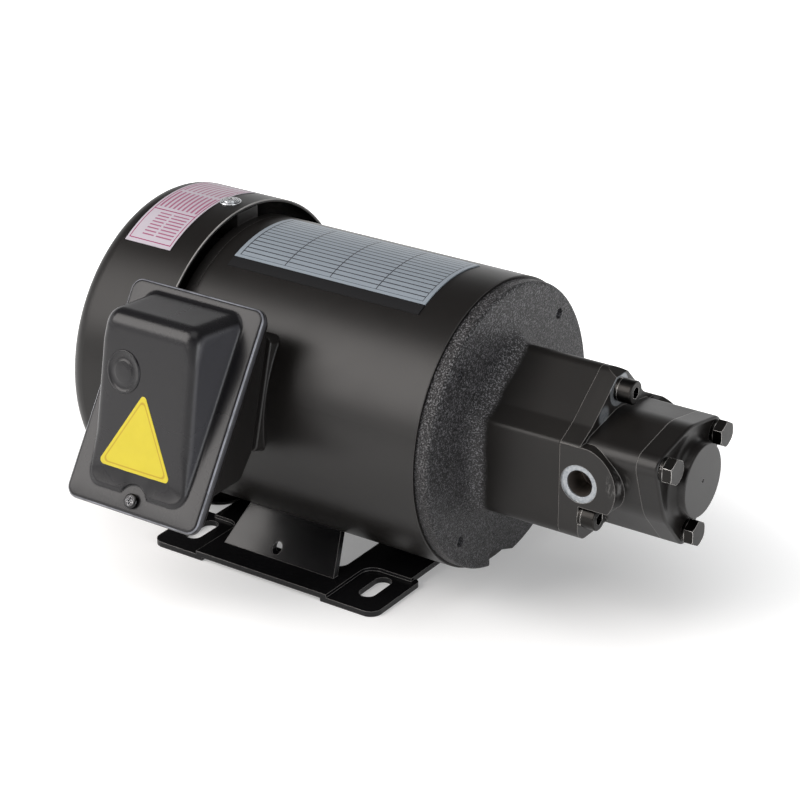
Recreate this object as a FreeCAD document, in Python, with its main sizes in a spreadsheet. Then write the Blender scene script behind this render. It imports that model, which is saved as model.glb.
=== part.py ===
import FreeCAD, Part
import math
import os
import re
import Sketcher

# Trochoid pump driven by its own foot mounted electric motor, in millimetres.
# +Z is up, the shaft runs along Y with the pump towards -Y, and the terminal box is on the -X side.
# The origin is on the floor, in the middle of the four foot slots.
# Stations along the shaft count from the flange face of the front bracket, forward towards the pump.

SIZES = {
    # Shaft line
    "shell_clear": "5.4",
    "flange_ahead": "111",
    "fit_gap": "0.03",
    "seat_gap": "0.1",
    "edge_break": "0.8",
    "cast_edge": "2",
    # Motor shell and stator
    "shell_r": "81.4",
    "shell_wall": "3",
    "shell_len": "161.5",
    "stator_mid": "93",
    "stator_len": "80",
    "bore_r": "41.3",
    "stator_slots": "24",
    "slot_w": "5.6",
    "slot_top_r": "60",
    "coil_r": "64",
    "coil_len": "16",
    "coil_slope": "4",
    "slot_gap": "0.15",
    # Foot
    "slot_spacing_x": "112",
    "slot_spacing_y": "121",
    "foot_slot_w": "10",
    "foot_slot_len": "24",
    "foot_edge_x": "25",
    "foot_edge_y": "16.5",
    "foot_thick": "3.2",
    "foot_rise": "2",
    "foot_corner_r": "7",
    "foot_pad_x": "40.7",
    "foot_pad_y": "32",
    "front_notch": "3.5",
    "rear_notch": "13.5",
    "joggle": "4",
    "web_len": "76",
    "web_out_x": "64",
    "web_in_x": "39.3",
    "web_wall": "4.2",
    "web_flare": "10",
    "web_shelf": "7.8",
    "web_share": "0.7",
    "window_y": "35",
    "pad_round": "8",
    "web_hole_r": "3",
    "web_hole_y": "3.5",
    "web_hole_z": "10",
    # Front bracket
    "flange_r": "80",
    "flange_thick": "8.5",
    "spigot_len": "8",
    "spigot_wall": "4",
    "neck_len": "54.2",
    "neck_top": "51.2",
    "ridge_x": "4",
    "neck_slope_x": "27",
    "neck_slope_z": "27.4",
    "block_x": "39.2",
    "block_top": "21",
    "block_low": "34.5",
    "lobe_round": "7",
    "block_round": "3",
    "low_round": "8.5",
    "root_round": "9",
    "hub_wall": "5.5",
    "cavity_r": "21",
    "front_wall": "6",
    "relief_depth": "3",
    "relief_left": "18",
    "relief_right": "52",
    "relief_z": "52",
    "notch_left": "19.5",
    "notch_top": "69",
    "notch_right": "9.7",
    "notch_low": "79.7",
    # Through bolts that hold both brackets to the shell
    "tie_circle_r": "69",
    "tie_r": "3",
    "tie_gap": "0.5",
    "tie_head_r": "5.8",
    "tie_head_len": "4",
    "tie_inset": "2",
    # Rear bracket
    "rear_flange": "6",
    "rear_disc": "10",
    "hub_len": "20",
    "hub_step": "4",
    "lug_len": "23",
    "lug_w": "18",
    "lug_inner_r": "71",
    # Fan cover and its screws
    "cover_r": "90.3",
    "cover_sheet": "1.6",
    "cover_rim": "175",
    "cover_rear": "237",
    "cover_round": "12",
    "cover_screw_s": "187",
    "cover_screws": "4",
    "screw_r": "2.5",
    "screw_head_r": "4.2",
    "screw_head_len": "1.6",
    "screw_dome": "0.5",
    "screw_reach": "12",
    "grille_w": "5.5",
    "grille_in_r": "20",
    "grille_mid_r": "42",
    "grille_out_r": "74",
    "grille_rib": "6",
    "grille_slots": "24",
    # Shaft and rotor of the motor
    "rotor_gap": "0.4",
    "rotor_shaft_r": "15",
    "front_step": "3",
    "rear_step": "2.5",
    "shaft_wide_rear": "20",
    "shaft_wide_front": "15",
    "ring_len": "9",
    "ring_in_r": "24",
    "fin_len": "6",
    "fin_w": "3",
    "fin_inset": "4",
    "fins": "8",
    "bar_w": "4",
    "bar_h": "8",
    "bars": "16",
    "nose_r": "8",
    "nose_end": "34",
    "tail_r": "7.5",
    "tail_end": "226",
    "ball_gap": "0.04",
    # Front bearing
    "front_bore_r": "10",
    "front_out_r": "23.5",
    "front_width": "14",
    "front_back": "12",
    "front_ball_r": "3.95",
    "front_balls": "8",
    # Rear bearing
    "rear_bore_r": "8.5",
    "rear_out_r": "20",
    "rear_width": "12",
    "rear_back": "187",
    "rear_ball_r": "3.35",
    "rear_balls": "8",
    "ring_lip": "0.5",
    "cage_share": "0.85",
    "cage_half": "0.9",
    "wave_inset": "0.5",
    "wave_thick": "1.2",
    # Fan
    "fan_hub_r": "13",
    "fan_front": "198",
    "fan_rear": "223",
    "fan_disc": "2.5",
    "fan_r": "74",
    "blade_w": "2.5",
    "blade_in": "12",
    "blade_slant": "10",
    "blade_root": "0.5",
    "blades": "8",
    "clip_thick": "1",
    "clip_w": "3",
    # Coupling and pump shaft
    "coupling_r": "15",
    "coupling_back": "12",
    "coupling_end": "44.5",
    "coupling_gap": "0.5",
    "tang_gap": "0.1",
    "key_w": "5",
    "key_len": "16",
    "key_depth": "3",
    "pump_shaft_r": "6",
    "pump_shaft_back": "37",
    "pump_shaft_end": "109.5",
    "tang_w": "6",
    "tang_len": "8",
    # Pump body
    "pump_end": "96.8",
    "pilot_r": "17.5",
    "pilot_len": "3",
    "screw_circle_r": "39.2",
    "screw_shank_r": "4",
    "screw_hole_r": "4.4",
    "screw_seat": "66",
    "cap_head_r": "6.5",
    "cap_head_len": "8",
    "hex_key_r": "3.4",
    "hex_key_depth": "4.5",
    "spot_r": "8.4",
    "ear_flat": "57",
    "ear_top": "46.2",
    "ridge_drop": "2",
    "ear_washer": "2",
    "ear_washer_r": "6.4",
    "washer_gap": "0.2",
    "thread_depth": "16",
    "port_s": "66",
    "port_r": "7.475",
    "port_depth": "16",
    "passage_r": "5",
    "passage_end": "15",
    "port_face_r": "10.6",
    "port_ring_depth": "0.8",
    "boss_r": "21.5",
    "boss_trim": "0.2",
    "kidney_in_r": "10",
    "kidney_out_r": "16.5",
    "kidney_depth": "12",
    "kidney_angle": "112",
    "bush_r": "8",
    "bush_len": "17",
    "seal_r": "11",
    "seal_len": "7",
    "seal_back_gap": "0.5",
    "lip_start": "2",
    "lip_thick": "1.5",
    "shaft_gap": "0.03",
    # Housing outline shared by the pump body and the pump cover
    "core_r": "28.5",
    "bolt_circle_r": "31.1",
    "bolt_lobe_r": "8",
    # Trochoid rotors
    "inner_teeth": "4",
    "rotor_offset": "2.75",
    "lobe_centre_r": "19.5",
    "lobe_r": "8",
    "outer_rotor_r": "21.5",
    "rotor_width": "19.8",
    "mesh_gap": "0.06",
    "side_gap": "0.05",
    "end_gap": "0.04",
    "rotor_key_w": "3",
    "rotor_key_depth": "1.7",
    "rotor_key_top": "1.3",
    # Pump cover
    "cover_thick": "12",
    "cover_bevel": "1.5",
    "cover_root": "4",
    "centre_r": "1.2",
    "nose_boss_r": "20.2",
    "nose_boss_len": "8.4",
    "bush_pocket": "13.5",
    "bolt_r": "4",
    "bolt_hole_r": "4.4",
    "bolt_head_r": "7.5",
    "bolt_head_len": "5.4",
    "washer_r": "6.6",
    "washer_thick": "2",
    "bolt_reach": "16",
    "ring_in": "22.6",
    "ring_out": "24.6",
    "ring_deep": "1.2",
    # Terminal box
    "box_tilt": "32.7",
    "seat_tilt": "15.2",
    "box_mid": "144.5",
    "base_mid": "140.5",
    "seat_plane": "83.4",
    "seat_half": "32",
    "seat_half_s": "27",
    "seat_share": "0.8",
    "lead_hole_r": "11",
    "base_half_s": "32.5",
    "base_wall": "3",
    "base_top_v": "10",
    "base_low_v": "93",
    "base_knee_v": "71.4",
    "base_knee_w": "72",
    "base_floor_len": "23",
    "base_round": "4",
    "rim_back": "100",
    "rim_thick": "3.5",
    "gasket_thick": "1",
    "rim_half_s": "45",
    "rim_half_v": "62.5",
    "rim_mid_v": "44.7",
    "rim_round": "7",
    "rim_inset": "2.5",
    "lid_rim": "4.5",
    "hood_half_s": "33.5",
    "hood_top_v": "11",
    "hood_low_v": "93",
    "hood_front_half_s": "30.5",
    "hood_front_top": "8",
    "hood_front_low": "84",
    "hood_tilt": "21.6",
    "hood_w": "145.5",
    "hood_round": "9",
    "hood_edge": "6",
    "hood_flare": "2.5",
    "lid_edge": "1.5",
    "hood_wall": "2.5",
    "lid_screw_v": "99.5",
    "lid_screw_head_r": "4.2",
    "lid_screw_head_len": "2.6",
    "lid_screw_r": "2",
    "lid_screw_gap": "0.3",
    "lid_screw_reach": "9",
    "cross_reach": "2.2",
    "cross_half": "0.5",
    "cross_deep": "1.4",
    "scallop_r": "9",
    "gland_r": "7",
    "grommet_lip": "1.6",
    "grommet_wall": "2.5",
    "block_len": "44",
    "block_wide": "16",
    "block_high": "14",
    "block_step": "4",
    "block_rib": "1.5",
    "stud_pitch": "14",
    "stud_r": "2",
    "stud_high": "9",
    "nut_r": "4",
    "nut_high": "3.2",
    # Plates
    "plate_thick": "0.6",
    "plate_front": "33",
    "plate_len": "126",
    "plate_start": "76",
    "plate_sweep": "43",
    "label_thick": "0.2",
    "label_front": "191.5",
    "label_len": "32",
    "label_start": "72",
    "label_sweep": "51",
}

doc = FreeCAD.newDocument("TrochoidPump")
sheet = doc.addObject("Spreadsheet::Sheet", "Sizes")
for row, (alias, value) in enumerate(SIZES.items(), start=1):
    sheet.set(f"A{row}", alias)
    sheet.set(f"B{row}", value)
    sheet.setAlias(f"B{row}", alias)
doc.recompute()

NAME = re.compile(r"[a-z][a-z_]+")
PIECES = []
FULL_TURN = "360"
AXIS_Z = FreeCAD.Vector(0, 0, 1)

# Places and sizes that several pieces share, as formulas of the sizes above
FOOT_TOP = "foot_rise + foot_thick"
SHAFT_Z = "foot_rise + foot_thick + shell_clear + shell_r"
SHELL_FRONT = "-flange_thick"
SHELL_END = "-(flange_thick + shell_len)"
SPIGOT_R = "shell_r - shell_wall - fit_gap"
STATOR_BACK = "-(stator_mid + stator_len / 2)"
STATOR_FRONT = "-(stator_mid - stator_len / 2)"
ROTOR_R = "bore_r - rotor_gap"
POCKET_FLOOR = "pump_end - rotor_width - 2 * end_gap"
COVER_FACE = "pump_end + cover_thick"
FOOT_HALF_X = "slot_spacing_x / 2 + foot_edge_x"
FOOT_HALF_Y = "slot_spacing_y / 2 + foot_edge_y"
REAR_SHOULDER = "-(rear_back + wave_thick)"
LID_BACK = "rim_back + rim_thick + gasket_thick"
LID_FACE = "rim_back + rim_thick + gasket_thick + lid_rim"


def link(formula):
    """Lead each size's name in a formula to its cell."""
    return NAME.sub(lambda word: f"Sizes.{word[0]}" if word[0] in SIZES else word[0], str(formula))


def size(formula):
    """Work a formula out as a plain number."""
    value = sheet.evalExpression(link(formula))
    return float(getattr(value, "Value", value))


def bind(item, name, formula):
    item.setExpression(name, link(formula))


def place(item, frame):
    x, y, z, yaw, pitch, roll = frame
    bind(item, "Placement", f"create(<<placement>>; create(<<vector>>; {x}; {y}; {z});"
                            f" create(<<rotation>>; {yaw}; {pitch}; {roll}))")


def along_shaft(spin="0", lift="0"):
    """Frame on the shaft line: X as the part's, Y up, Z forward from the flange face."""
    return "0", "-flange_ahead", f"{SHAFT_Z} + {lift}", "0", f"-({spin})", "90"


def across_shaft(tilt):
    """Frame on the shaft line: X forward, Z out of the -X side and raised by the tilt."""
    return "0", "-flange_ahead", SHAFT_Z, "-90", "0", f"90 - {tilt}"


ON_SHAFT = along_shaft()
ON_FLOOR = ("0", "0", "0", "0", "0", "0")
ON_BOX = across_shaft("box_tilt")
ON_SEAT = across_shaft("seat_tilt")
OFF_CENTRE = along_shaft(lift="rotor_offset")


# Building blocks

def body(name, frame=ON_SHAFT):
    item = doc.addObject("PartDesign::Body", name)
    item.Label = name
    item.AllowCompound = True
    place(item, frame)
    PIECES.append(item)
    return item


def origin(owner, role):
    return next(item for item in owner.Origin.OriginFeatures if item.Role == role)


def sketch(owner, plane="XY_Plane", offset="0"):
    item = owner.newObject("Sketcher::SketchObject", owner.Label + "_sketch")
    item.AttachmentSupport = [(origin(owner, plane), "")]
    item.MapMode = "FlatFace"
    bind(item, "AttachmentOffset.Base.z", offset)
    return item


def fix(drawing, constraint, formula):
    number = drawing.addConstraint(constraint)
    drawing.setExpression(f"Constraints[{number}]", link(formula))


def pin(drawing, item, end, x, y):
    """Hold one point of a sketch at x, y."""
    fix(drawing, Sketcher.Constraint("DistanceX", -1, 1, item, end, size(x)), x)
    fix(drawing, Sketcher.Constraint("DistanceY", -1, 1, item, end, size(y)), y)


def circle(drawing, x, y, radius):
    centre = FreeCAD.Vector(size(x), size(y), 0)
    number = drawing.addGeometry(Part.Circle(centre, AXIS_Z, size(radius)))
    pin(drawing, number, 3, x, y)
    fix(drawing, Sketcher.Constraint("Radius", number, size(radius)), radius)


def corner_ends(before, corner, after, radius):
    """Where the two lines of a corner stop, and the centre of the arc between them."""
    back = (before - corner).normalize()
    ahead = (after - corner).normalize()
    half = back.getAngle(ahead) / 2
    reach = radius / math.tan(half)
    middle = corner + (back + ahead).normalize() * (radius / math.sin(half))
    return corner + back * reach, corner + ahead * reach, middle


def outline(drawing, corners):
    """Closed outline of lines; each corner is x, y or x, y, radius of its round."""
    points = [FreeCAD.Vector(size(c[0]), size(c[1]), 0) for c in corners]
    count = len(points)
    arrive, leave, middles = list(points), list(points), {}
    for i, corner in enumerate(corners):
        if len(corner) == 3:
            ends = corner_ends(points[i - 1], points[i], points[(i + 1) % count], size(corner[2]))
            arrive[i], leave[i], middles[i] = ends
    first = drawing.GeometryCount
    for i in range(count):
        drawing.addGeometry(Part.LineSegment(leave[i], arrive[(i + 1) % count]))
    for i, corner in enumerate(corners):
        before = first + (i - 1) % count
        after = first + i
        if i in middles:
            round_corner(drawing, before, after, corner, arrive[i], leave[i], middles[i])
        else:
            drawing.addConstraint(Sketcher.Constraint("Coincident", before, 2, after, 1))
            pin(drawing, after, 1, corner[0], corner[1])


def round_corner(drawing, before, after, corner, start, end, middle):
    """Arc between two lines, tangent to both, with their crossing point held in place."""
    x, y, radius = corner
    tip = FreeCAD.Vector(size(x), size(y), 0)
    left_turn = (tip - start).cross(end - tip).z > 0
    first, last = (start, end) if left_turn else (end, start)
    angles = [math.atan2(p.y - middle.y, p.x - middle.x) for p in (first, last)]
    if angles[1] < angles[0]:
        angles[1] += 2 * math.pi
    circle_shape = Part.Circle(middle, AXIS_Z, size(radius))
    arc = drawing.addGeometry(Part.ArcOfCircle(circle_shape, angles[0], angles[1]))
    near, far = (1, 2) if left_turn else (2, 1)
    drawing.addConstraint(Sketcher.Constraint("Tangent", before, 2, arc, near))
    drawing.addConstraint(Sketcher.Constraint("Tangent", after, 1, arc, far))
    fix(drawing, Sketcher.Constraint("Radius", arc, size(radius)), radius)
    point = drawing.addGeometry(Part.Point(tip), True)
    pin(drawing, point, 1, x, y)
    drawing.addConstraint(Sketcher.Constraint("PointOnObject", point, 1, before))
    drawing.addConstraint(Sketcher.Constraint("PointOnObject", point, 1, after))


def box_outline(drawing, low_x, high_x, low_y, high_y, radius=None):
    tail = () if radius is None else (radius,)
    outline(drawing, [(low_x, low_y) + tail, (high_x, low_y) + tail,
                      (high_x, high_y) + tail, (low_x, high_y) + tail])


def slot_outline(drawing, x, y, length, width):
    """Straight slot along X about a point, with round ends."""
    radius = f"({width}) / 2"
    arcs = []
    for side, begin in (("+", -math.pi / 2), ("-", math.pi / 2)):
        end = f"{x} {side} (({length}) / 2 - {radius})"
        shape = Part.Circle(FreeCAD.Vector(size(end), size(y), 0), AXIS_Z, size(radius))
        arc = drawing.addGeometry(Part.ArcOfCircle(shape, begin, begin + math.pi))
        pin(drawing, arc, 3, end, y)
        fix(drawing, Sketcher.Constraint("Radius", arc, size(radius)), radius)
        arcs.append(arc)
    join_arcs(drawing, arcs)


def join_arcs(drawing, arcs):
    """Tangent line from the end of each arc to the start of the next one."""
    for i, arc in enumerate(arcs):
        follower = arcs[(i + 1) % len(arcs)]
        start = drawing.getPoint(arc, 2)
        end = drawing.getPoint(follower, 1)
        line = drawing.addGeometry(Part.LineSegment(start, end))
        drawing.addConstraint(Sketcher.Constraint("Tangent", arc, 2, line, 1))
        drawing.addConstraint(Sketcher.Constraint("Tangent", line, 2, follower, 1))


def cross_outline(drawing, x, y):
    """Cross recess of a screw head about a point."""
    arm = [("cross_reach", "cross_half"), ("cross_half", "cross_half"), ("cross_half", "cross_reach")]
    corners = []
    for sx, sy in ((1, 1), (-1, 1), (-1, -1), (1, -1)):
        quarter = [(f"{x} + {sx} * {a}", f"{y} + {sy} * {b}") for a, b in arm]
        corners += quarter if sx * sy > 0 else quarter[::-1]
    outline(drawing, corners)


def hexagon(drawing, x, y, radius):
    corners = [(f"{x} + {radius} * cos({60 * i})", f"{y} + {radius} * sin({60 * i})")
               for i in range(6)]
    outline(drawing, corners)


def lobed_outline(drawing, start_angle):
    """Housing outline: three bolt lobes blended into a round core."""
    lean = "acos((core_r - bolt_lobe_r) / bolt_circle_r)"
    spread = size(lean)
    parts = []
    for i in range(3):
        angle = start_angle + 120 * i
        x, y = polar("bolt_circle_r", angle)
        lobe = Part.Circle(FreeCAD.Vector(size(x), size(y), 0), AXIS_Z, size("bolt_lobe_r"))
        parts.append((lobe, angle - spread, angle + spread, x, y, "bolt_lobe_r"))
        core = Part.Circle(FreeCAD.Vector(0, 0, 0), AXIS_Z, size("core_r"))
        parts.append((core, angle + spread, angle + 120 - spread, "0", "0", "core_r"))
    arcs = []
    for shape, begin, stop, x, y, radius in parts:
        arc = drawing.addGeometry(Part.ArcOfCircle(shape, math.radians(begin), math.radians(stop)))
        pin(drawing, arc, 3, x, y)
        fix(drawing, Sketcher.Constraint("Radius", arc, size(radius)), radius)
        arcs.append(arc)
    join_arcs(drawing, arcs)


def polar(radius, angle):
    """Formulas for a point at an angle on a circle about the origin."""
    return f"{radius} * cos({angle})", f"{radius} * sin({angle})"


def feature(owner, kind, drawing):
    item = owner.newObject("PartDesign::" + kind, owner.Label + "_" + kind.lower())
    item.Profile = drawing
    return item


def pad(owner, drawing, length, middle=False, back=False):
    item = feature(owner, "Pad", drawing)
    bind(item, "Length", length)
    item.Midplane = middle
    item.Reversed = back
    return item


def cut(owner, drawing, length, ahead=False, middle=False):
    """Pocket that goes back from the sketch, ahead of it, or both ways."""
    item = feature(owner, "Pocket", drawing)
    bind(item, "Length", length)
    item.Midplane = middle
    item.Reversed = ahead
    return item


def spin(owner, kind, drawing, axis="V_Axis", sweep=FULL_TURN, middle=False):
    item = feature(owner, kind, drawing)
    item.ReferenceAxis = (drawing, [axis])
    bind(item, "Angle", sweep)
    item.Midplane = middle
    return item


def loft(owner, kind, sections):
    """Straight sided loft through sketches."""
    item = feature(owner, kind, sections[0])
    item.Sections = sections[1:]
    item.Ruled = True
    return item


def around(owner, features, count, axis="Z_Axis"):
    item = owner.newObject("PartDesign::PolarPattern", owner.Label + "_pattern")
    item.Originals = features
    item.Axis = (origin(owner, axis), [""])
    bind(item, "Angle", FULL_TURN)
    bind(item, "Occurrences", count)
    owner.Tip = item
    return item


def both_sides(owner, features, plane="YZ_Plane"):
    item = owner.newObject("PartDesign::Mirrored", owner.Label + "_mirror")
    item.Originals = features
    item.MirrorPlane = (origin(owner, plane), [""])
    owner.Tip = item
    return item


def round_edges(owner, base, radius, choose):
    """Fillet on the edges of a feature that the test picks."""
    doc.recompute()
    names = [f"Edge{i}" for i, edge in enumerate(base.Shape.Edges, start=1) if choose(edge)]
    item = owner.newObject("PartDesign::Fillet", owner.Label + "_fillet")
    item.Base = (base, names)
    bind(item, "Radius", radius)
    return item


def turned(name, corners, frame=ON_SHAFT, sweep=FULL_TURN):
    """Piece turned about the shaft line; each corner is radius, station."""
    item = body(name, frame)
    drawing = sketch(item, "XZ_Plane")
    outline(drawing, corners)
    spin(item, "Revolution", drawing, sweep=sweep)
    return item


def ring(name, inner, outer, back, front, frame=ON_SHAFT, sweep=FULL_TURN):
    corners = [(inner, back), (outer, back), (outer, front), (inner, front)]
    return turned(name, corners, frame, sweep)


def turned_cut(owner, corners, plane="XZ_Plane", axis="V_Axis", sweep=FULL_TURN, middle=False):
    drawing = sketch(owner, plane)
    outline(drawing, corners)
    return spin(owner, "Groove", drawing, axis, sweep, middle)


def offset_axis(drawing, x):
    """Construction line along the shaft direction at x, the turning axis of a bolt."""
    reach = FreeCAD.Vector(0, 300, 0)
    foot = FreeCAD.Vector(size(x), 0, 0)
    line = drawing.addGeometry(Part.LineSegment(foot - reach, foot + reach), True)
    drawing.addConstraint(Sketcher.Constraint("Vertical", line))
    fix(drawing, Sketcher.Constraint("DistanceX", -1, 1, line, 1, size(x)), x)
    fix(drawing, Sketcher.Constraint("DistanceY", -1, 1, line, 1, -reach.y), str(-reach.y))
    fix(drawing, Sketcher.Constraint("DistanceY", -1, 1, line, 2, reach.y), str(reach.y))


def turned_off_axis(owner, x, corners, kind="Revolution"):
    """Feature turned about a line parallel to the shaft; each corner is radius, station."""
    drawing = sketch(owner, "XZ_Plane")
    offset_axis(drawing, x)
    outline(drawing, [(f"{x} + {c[0]}",) + tuple(c[1:]) for c in corners])
    return spin(owner, kind, drawing, "Axis0")


# Motor shell, foot and brackets

def frame_shell():
    item = body("frame_shell", ON_SEAT)
    drawing = sketch(item, "XZ_Plane")
    box_outline(drawing, SHELL_END, SHELL_FRONT, "shell_r - shell_wall", "shell_r")
    spin(item, "Revolution", drawing, "H_Axis")
    hole = sketch(item)
    circle(hole, "-base_mid", "0", "lead_hole_r")
    cut(item, hole, "shell_r + shell_wall", ahead=True)


def foot_plate():
    """Pressed sheet: raised middle, four lowered slotted pads and two webs up to the shell."""
    item = body("foot_plate", ON_FLOOR)
    pad_x = f"({FOOT_HALF_X} - foot_pad_x)"
    pad_y = f"({FOOT_HALF_Y} - foot_pad_y)"
    cross = []
    for sx, sy, notch, forward in ((1, 1, "rear_notch", False), (-1, 1, "rear_notch", True),
                                   (-1, -1, "front_notch", False), (1, -1, "front_notch", True)):
        quarter = [(f"{sx} * ({FOOT_HALF_X})", f"{sy} * {pad_y}"),
                   (f"{sx} * {pad_x}", f"{sy} * {pad_y}", "pad_round"),
                   (f"{sx} * {pad_x}", f"{sy} * ({FOOT_HALF_Y} - {notch})")]
        cross += quarter[::-1] if forward else quarter
    raised = sketch(item, offset="foot_rise")
    outline(raised, cross)
    pad(item, raised, "foot_thick")
    corner = sketch(item)
    low_x, low_y = f"{pad_x} - joggle", f"{pad_y} - joggle"
    outline(corner, [(low_x, low_y), (FOOT_HALF_X, low_y), (FOOT_HALF_X, FOOT_HALF_Y, "foot_corner_r"),
                     (low_x, FOOT_HALF_Y, "block_round")])
    mirror_four(item, pad(item, corner, "foot_thick"))
    window = sketch(item)
    window_x = "(web_out_x - web_wall - web_shelf)"
    box_outline(window, f"-{window_x}", window_x, "-window_y", "window_y", "foot_corner_r")
    cut(item, window, FOOT_TOP, ahead=True)
    foot_webs(item)
    slot = sketch(item)
    slot_outline(slot, "slot_spacing_x / 2", "slot_spacing_y / 2", "foot_slot_len", "foot_slot_w")
    mirror_four(item, cut(item, slot, FOOT_TOP, ahead=True))


def foot_webs(item):
    """Two sloping walls from the raised middle up to the shell, narrower at the top."""
    high = f"({SHAFT_Z} - web_share * shell_r)"
    web = sketch(item, "XZ_Plane")
    outline(web, [("web_out_x", "foot_rise"), ("web_out_x", FOOT_TOP), ("web_in_x", high),
                  ("web_in_x - web_wall", high), ("web_out_x - web_wall", FOOT_TOP),
                  ("web_out_x - web_wall", "foot_rise")])
    both_sides(item, [pad(item, web, "web_len", middle=True)])
    ends = sketch(item, "YZ_Plane")
    for side in ("-", ""):
        outline(ends, [(f"{side}(web_len / 2)", FOOT_TOP), (f"{side}(web_len / 2 + 1)", FOOT_TOP),
                       (f"{side}(web_len / 2 + 1)", f"{high} + 1"),
                       (f"{side}(web_len / 2 - web_flare)", f"{high} + 1")])
    cut(item, ends, f"2 * ({FOOT_HALF_X})", middle=True)
    shell = sketch(item, "YZ_Plane")
    reach = FreeCAD.Vector(300, 0, 0)
    height = FreeCAD.Vector(0, size(SHAFT_Z), 0)
    line = shell.addGeometry(Part.LineSegment(height - reach, height + reach), True)
    pin(shell, line, 1, str(-reach.x), SHAFT_Z)
    pin(shell, line, 2, str(reach.x), SHAFT_Z)
    box_outline(shell, "-web_len", "web_len", f"{SHAFT_Z} - shell_r", SHAFT_Z)
    spin(item, "Groove", shell, "Axis0")
    hole = sketch(item, "YZ_Plane")
    circle(hole, "web_hole_y", "web_hole_z", "web_hole_r")
    cut(item, hole, f"2 * ({FOOT_HALF_X})", middle=True)


def mirror_four(owner, item):
    """Repeat a feature of one corner at the other three."""
    first = owner.newObject("PartDesign::MultiTransform", owner.Label + "_corners")
    first.Originals = [item]
    steps = []
    for plane in ("YZ_Plane", "XZ_Plane"):
        step = owner.newObject("PartDesign::Mirrored", owner.Label + "_step")
        step.MirrorPlane = (origin(owner, plane), [""])
        steps.append(step)
    first.Transformations = steps
    owner.Tip = first


def neck_corners():
    """Section shared by the neck and the pump body."""
    return [("block_x", "-block_low", "low_round"), ("block_x", "block_top", "block_round"),
            ("neck_slope_x", "neck_slope_z", "low_round"), ("ridge_x", "neck_top", "lobe_round"),
            ("-neck_slope_x", "neck_slope_z", "low_round"), ("-block_x", "block_top", "block_round"),
            ("-block_x", "-block_low", "low_round")]


def three_circles(drawing, circle_r, radius, start_angle):
    for i in range(3):
        x, y = polar(circle_r, start_angle + 120 * i)
        circle(drawing, x, y, radius)


def front_bracket():
    """Casting with the flange, the front bearing seat and the neck that carries the pump."""
    item = body("front_bracket")
    hub_r = "front_out_r + hub_wall"
    hub_back = "-(front_back + 1)"
    ring_in = "shell_r - shell_wall - spigot_wall"
    spigot = "-(flange_thick + spigot_len)"
    disc = sketch(item, "XZ_Plane")
    outline(disc, [("0", hub_back), (hub_r, hub_back), (hub_r, SHELL_FRONT),
                   (ring_in, SHELL_FRONT), (ring_in, spigot), (SPIGOT_R, spigot),
                   (SPIGOT_R, SHELL_FRONT), ("flange_r", SHELL_FRONT), ("flange_r", "0", "cast_edge"),
                   ("0", "0")])
    spin(item, "Revolution", disc)
    neck = sketch(item)
    outline(neck, neck_corners())
    neck_pad = pad(item, neck, "neck_len")
    reach = size("neck_top + block_round")
    round_edges(item, neck_pad, "root_round", lambda edge: in_plane(edge, 2, 0, reach))
    turned_cut(item, [("0", "-(front_back + 2)"), ("front_out_r + fit_gap", "-(front_back + 2)"),
                      ("front_out_r + fit_gap", "front_width - front_back"),
                      ("cavity_r", "front_width - front_back"), ("cavity_r", "neck_len - front_wall"),
                      ("pilot_r + fit_gap", "neck_len - front_wall"),
                      ("pilot_r + fit_gap", "neck_len + 1"), ("0", "neck_len + 1")])
    relief = sketch(item)
    box_outline(relief, "-relief_left", "relief_right", "-(flange_r + 2)", "-relief_z")
    cut(item, relief, "relief_depth")
    notch = sketch(item)
    outline(notch, [("-notch_left", "-notch_top"), ("-notch_left", "-(flange_r + 2)"),
                    ("notch_right", "-(flange_r + 2)"), ("notch_right", "-notch_low")])
    cut(item, notch, "flange_thick")
    holes = sketch(item)
    for i in range(4):
        x, y = polar("tie_circle_r", 45 + 90 * i)
        circle(holes, x, y, "tie_r + fit_gap")
    cut(item, holes, "2 * flange_thick")
    threads = sketch(item, offset="neck_len")
    three_circles(threads, "screw_circle_r", "screw_shank_r + fit_gap", 90)
    cut(item, threads, "thread_depth")


def in_plane(edge, axis, level, reach):
    """True for an edge that lies at a level of one axis, within reach of the shaft line."""
    spots = [edge.valueAt(edge.FirstParameter), edge.valueAt(edge.LastParameter)]
    spots.append(edge.valueAt((edge.FirstParameter + edge.LastParameter) / 2))
    return all(abs(p[axis] - level) < 1e-4 and p.Length < reach for p in spots)


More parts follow.
